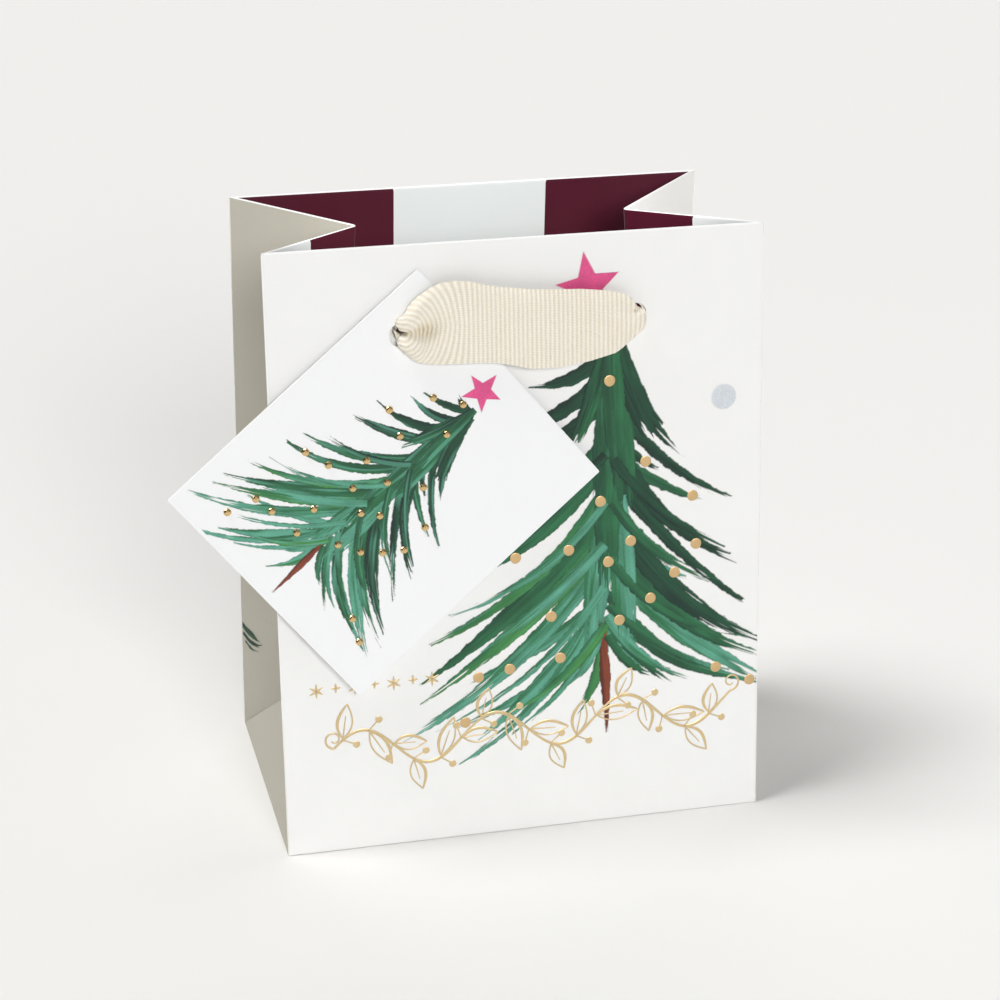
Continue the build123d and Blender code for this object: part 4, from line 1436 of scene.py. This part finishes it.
def knots(side, who):
    """Overhand knots in the gathered ribbon behind each hole, with a short cut tail."""
    V, F, R, UV = [], [], [], []
    for hx in (-HOLE_X, HOLE_X):
        t = np.linspace(0, 2 * math.pi, 150, endpoint=False)
        kx = (np.sin(t) + 2 * np.sin(2 * t)) * 0.86
        ky = (np.cos(t) - 2 * np.cos(2 * t)) * 0.86
        kz = -np.sin(3 * t) * 1.25
        K = np.stack([kx, ky, kz], -1)
        tan = np.gradient(np.vstack([K[-1:], K, K[:1]]), axis=0)[1:-1]
        tan /= np.linalg.norm(tan, axis=1)[:, None]
        upv = np.stack([kx, ky, 0 * kx], -1)
        upv /= np.maximum(np.linalg.norm(upv, axis=1), 1e-6)[:, None]
        e1 = upv - (upv * tan).sum(1)[:, None] * tan
        e1 /= np.linalg.norm(e1, axis=1)[:, None]
        e2 = np.cross(tan, e1)
        m = 28
        an = np.linspace(0, 2 * math.pi, m, endpoint=False)
        s = np.r_[0, np.cumsum(np.linalg.norm(np.diff(K, axis=0), axis=1))]
        rib = 0.5 + 0.5 * np.cos(2 * math.pi * s / 1.1)
        base = len(V)
        for i in range(len(t)):
            for k in range(m):
                pleat = 1 + 0.10 * math.cos(5 * an[k] + 0.6)
                r1 = 1.42 * pleat * (1 + 0.04 * rib[i])
                r2 = 1.12 * pleat * (1 + 0.04 * rib[i])
                p = K[i] + e1[i] * r1 * math.cos(an[k]) + e2[i] * r2 * math.sin(an[k])
                V.append((hx + p[0], HOLE_B + p[1], -11.0 + p[2]))
                R.append(rib[i])
                UV.append((s[i], k * 0.3))
        for i in range(len(t)):
            for k in range(m):
                a = base + i * m + k
                b = base + i * m + (k + 1) % m
                c = base + ((i + 1) % len(t)) * m + (k + 1) % m
                dd = base + ((i + 1) % len(t)) * m + k
                F.append((a, b, c, dd))
        # tail: a flat cut end, 7 mm long, hanging down behind the knot
        base = len(V)
        nl, nw = 40, 13
        for lay in (0.13, -0.13):
            for i in range(nl):
                f = i / (nl - 1)
                for j in range(nw):
                    g = j / (nw - 1) * 2 - 1
                    wid = 1.0 + 2.2 * f ** 0.7
                    bb = HOLE_B - 1.5 - 7.0 * f + (0.9 * abs(g) * f if f > 0.9 else 0)
                    oo = -11.6 - 0.9 * math.sin(f * 2.2) + 0.45 * math.cos(g * 5.0) * (1 - 0.6 * f) + lay
                    rr = 0.5 + 0.5 * math.cos(2 * math.pi * f * 7.0 / 1.15)
                    V.append((hx + g * wid, bb, oo + 0.05 * rr * (1 if lay > 0 else -1)))
                    R.append(rr)
                    UV.append((f * 7.0, g * 4))
        w2 = nl * nw
        for i in range(nl - 1):
            for j in range(nw - 1):
                a = base + i * nw + j
                F.append((a, a + 1, a + nw + 1, a + nw))
                F.append((a + w2, a + w2 + nw, a + w2 + nw + 1, a + w2 + 1))
        ring = [base + j for j in range(nw)] + [base + i * nw + nw - 1 for i in range(1, nl)] + \
               [base + (nl - 1) * nw + j for j in range(nw - 2, -1, -1)] + [base + i * nw for i in range(nl - 2, 0, -1)]
        for i in range(len(ring)):
            a, b = ring[i], ring[(i + 1) % len(ring)]
            F.append((a, b, b + w2, a + w2))
    V = np.array(V)
    y = -HD + V[:, 1] * S - V[:, 2] * C
    z = V[:, 1] * C + V[:, 2] * S
    P = np.stack([V[:, 0], y, z], -1) if side < 0 else np.stack([-V[:, 0], -y, z], -1)
    ob = make_object(f"{who}_ribbon_knots", P, F, [m_ribbon], uv=np.array(UV), sharp=70)
    bm_fix(ob)
    # rib attribute: painted shade in the grooves between the knots' ribs
    att = ob.data.attributes.new("rib", "FLOAT", "POINT")
    att.data.foreach_set("value", np.array(R, np.float32))
    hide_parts(f"{who}_handle_knots")
    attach(ob, f"{who}_handle")


for sgn, who in ((-1.0, "front"), (1.0, "back")):
    ribbon(sgn, who, 3.0 if sgn < 0 else 8.0)
    knots(sgn, who)

# ---------------------------------------------------------------- CAD nodes that stay
for n in ("base_front_flap", "base_back_flap", "base_left_flap", "base_right_flap", "side_seam_tab"):
    nodes[n].data.materials.clear()
    nodes[n].data.materials.append(m_inner if n == "side_seam_tab" else m_paper)
nodes["base_board"].data.materials.clear()
nodes["base_board"].data.materials.append(m_card)

# ---------------------------------------------------------------- floor, light, camera
bpy.ops.mesh.primitive_plane_add(size=12.0, location=(0, 0, -0.0001))
floor = bpy.context.object
floor.name = "studio_floor"
mf, nt, bs = new_mat("studio_floor")
tcf = node(nt, "ShaderNodeTexCoord")
nf = node(nt, "ShaderNodeTexNoise")
nf.inputs["Scale"].default_value = 3.0
link(nt, tcf.outputs["Object"], nf.inputs["Vector"])
mxf = mix_rgb(nt)
mxf.inputs[6].default_value = (*srgb(239, 238, 236), 1)
mxf.inputs[7].default_value = (*srgb(241, 240, 238), 1)
link(nt, nf.outputs["Fac"], mxf.inputs[0])
link(nt, mxf.outputs[2], bs.inputs["Base Color"])
bs.inputs["Roughness"].default_value = 0.9
set_in(bs, ["Specular IOR Level", "Specular"], 0.1)
floor.data.materials.append(mf)

world = bpy.data.worlds.new("studio")
bpy.context.scene.world = world
world.use_nodes = True
bg = world.node_tree.nodes["Background"]
# a soft room: brighter towards the right and overhead, dimmer and warmer on the left
wt = world.node_tree
wtc = node(wt, "ShaderNodeTexCoord")
wsep = node(wt, "ShaderNodeSeparateXYZ")
link(wt, wtc.outputs["Generated"], wsep.inputs["Vector"])
wmr = node(wt, "ShaderNodeMapRange")
wmr.inputs["From Min"].default_value = -0.7
wmr.inputs["From Max"].default_value = 0.5
link(wt, wsep.outputs["X"], wmr.inputs["Value"])
wmx = mix_rgb(wt)
wmx.inputs[6].default_value = (0.16, 0.145, 0.115, 1)
wmx.inputs[7].default_value = (1.0, 1.0, 1.0, 1)
link(wt, wmr.outputs["Result"], wmx.inputs[0])
link(wt, wmx.outputs[2], bg.inputs["Color"])
bg.inputs["Strength"].default_value = 0.25


def sun(name, az, el, energy, angle, colour=(1, 1, 1)):
    """Sun from the direction az (0 = from the front, 90 = from the right), el above the horizon."""
    li = bpy.data.lights.new(name, "SUN")
    li.energy = energy
    li.angle = math.radians(angle)
    li.color = colour
    ob = bpy.data.objects.new(name, li)
    bpy.context.scene.collection.objects.link(ob)
    a, e = math.radians(az), math.radians(el)
    d = Vector((math.sin(a) * math.cos(e), -math.cos(a) * math.cos(e), math.sin(e)))
    ob.rotation_mode = "QUATERNION"
    ob.rotation_quaternion = d.to_track_quat("Z", "Y")
    return ob


sun("front_softbox", 3, 21, 1.53, 20)
sun("top_softbox", -96, 65, 2.10, 26)
sun("back_fill", 166, 40, 0.36, 40)
# a small reflector card over the mouth, which only reaches the inside of the back panel
kl = bpy.data.lights.new("mouth_card", "AREA")
kl.shape, kl.size, kl.size_y, kl.energy = "RECTANGLE", 0.112, 0.016, 0.0135
ko = bpy.data.objects.new("mouth_card", kl)
bpy.context.scene.collection.objects.link(ko)
ko.location = (0.0, -0.018, 0.171)
ko.rotation_mode = "QUATERNION"
ko.rotation_quaternion = Vector((0, -0.80, 0.60)).to_track_quat("Z", "Y")
ko.visible_camera = False
ko.visible_glossy = False

cam = bpy.data.cameras.new("camera")
cam.lens = 89.515
cam.sensor_width = 36.0
cam.sensor_fit = "HORIZONTAL"
cam.clip_start, cam.clip_end = 0.01, 50
co = bpy.data.objects.new("camera", cam)
bpy.context.scene.collection.objects.link(co)
az, el = math.radians(-13.539), math.radians(21.217)
back = Vector((math.sin(az) * math.cos(el), -math.cos(az) * math.cos(el), math.sin(el)))
co.location = (-0.14270, -0.60215, 0.31802)
co.rotation_mode = "QUATERNION"
co.rotation_quaternion = (-back).to_track_quat("-Z", "Y")
bpy.context.scene.camera = co
bpy.context.scene.view_settings.view_transform = "Standard"
bpy.context.scene.view_settings.look = "None"
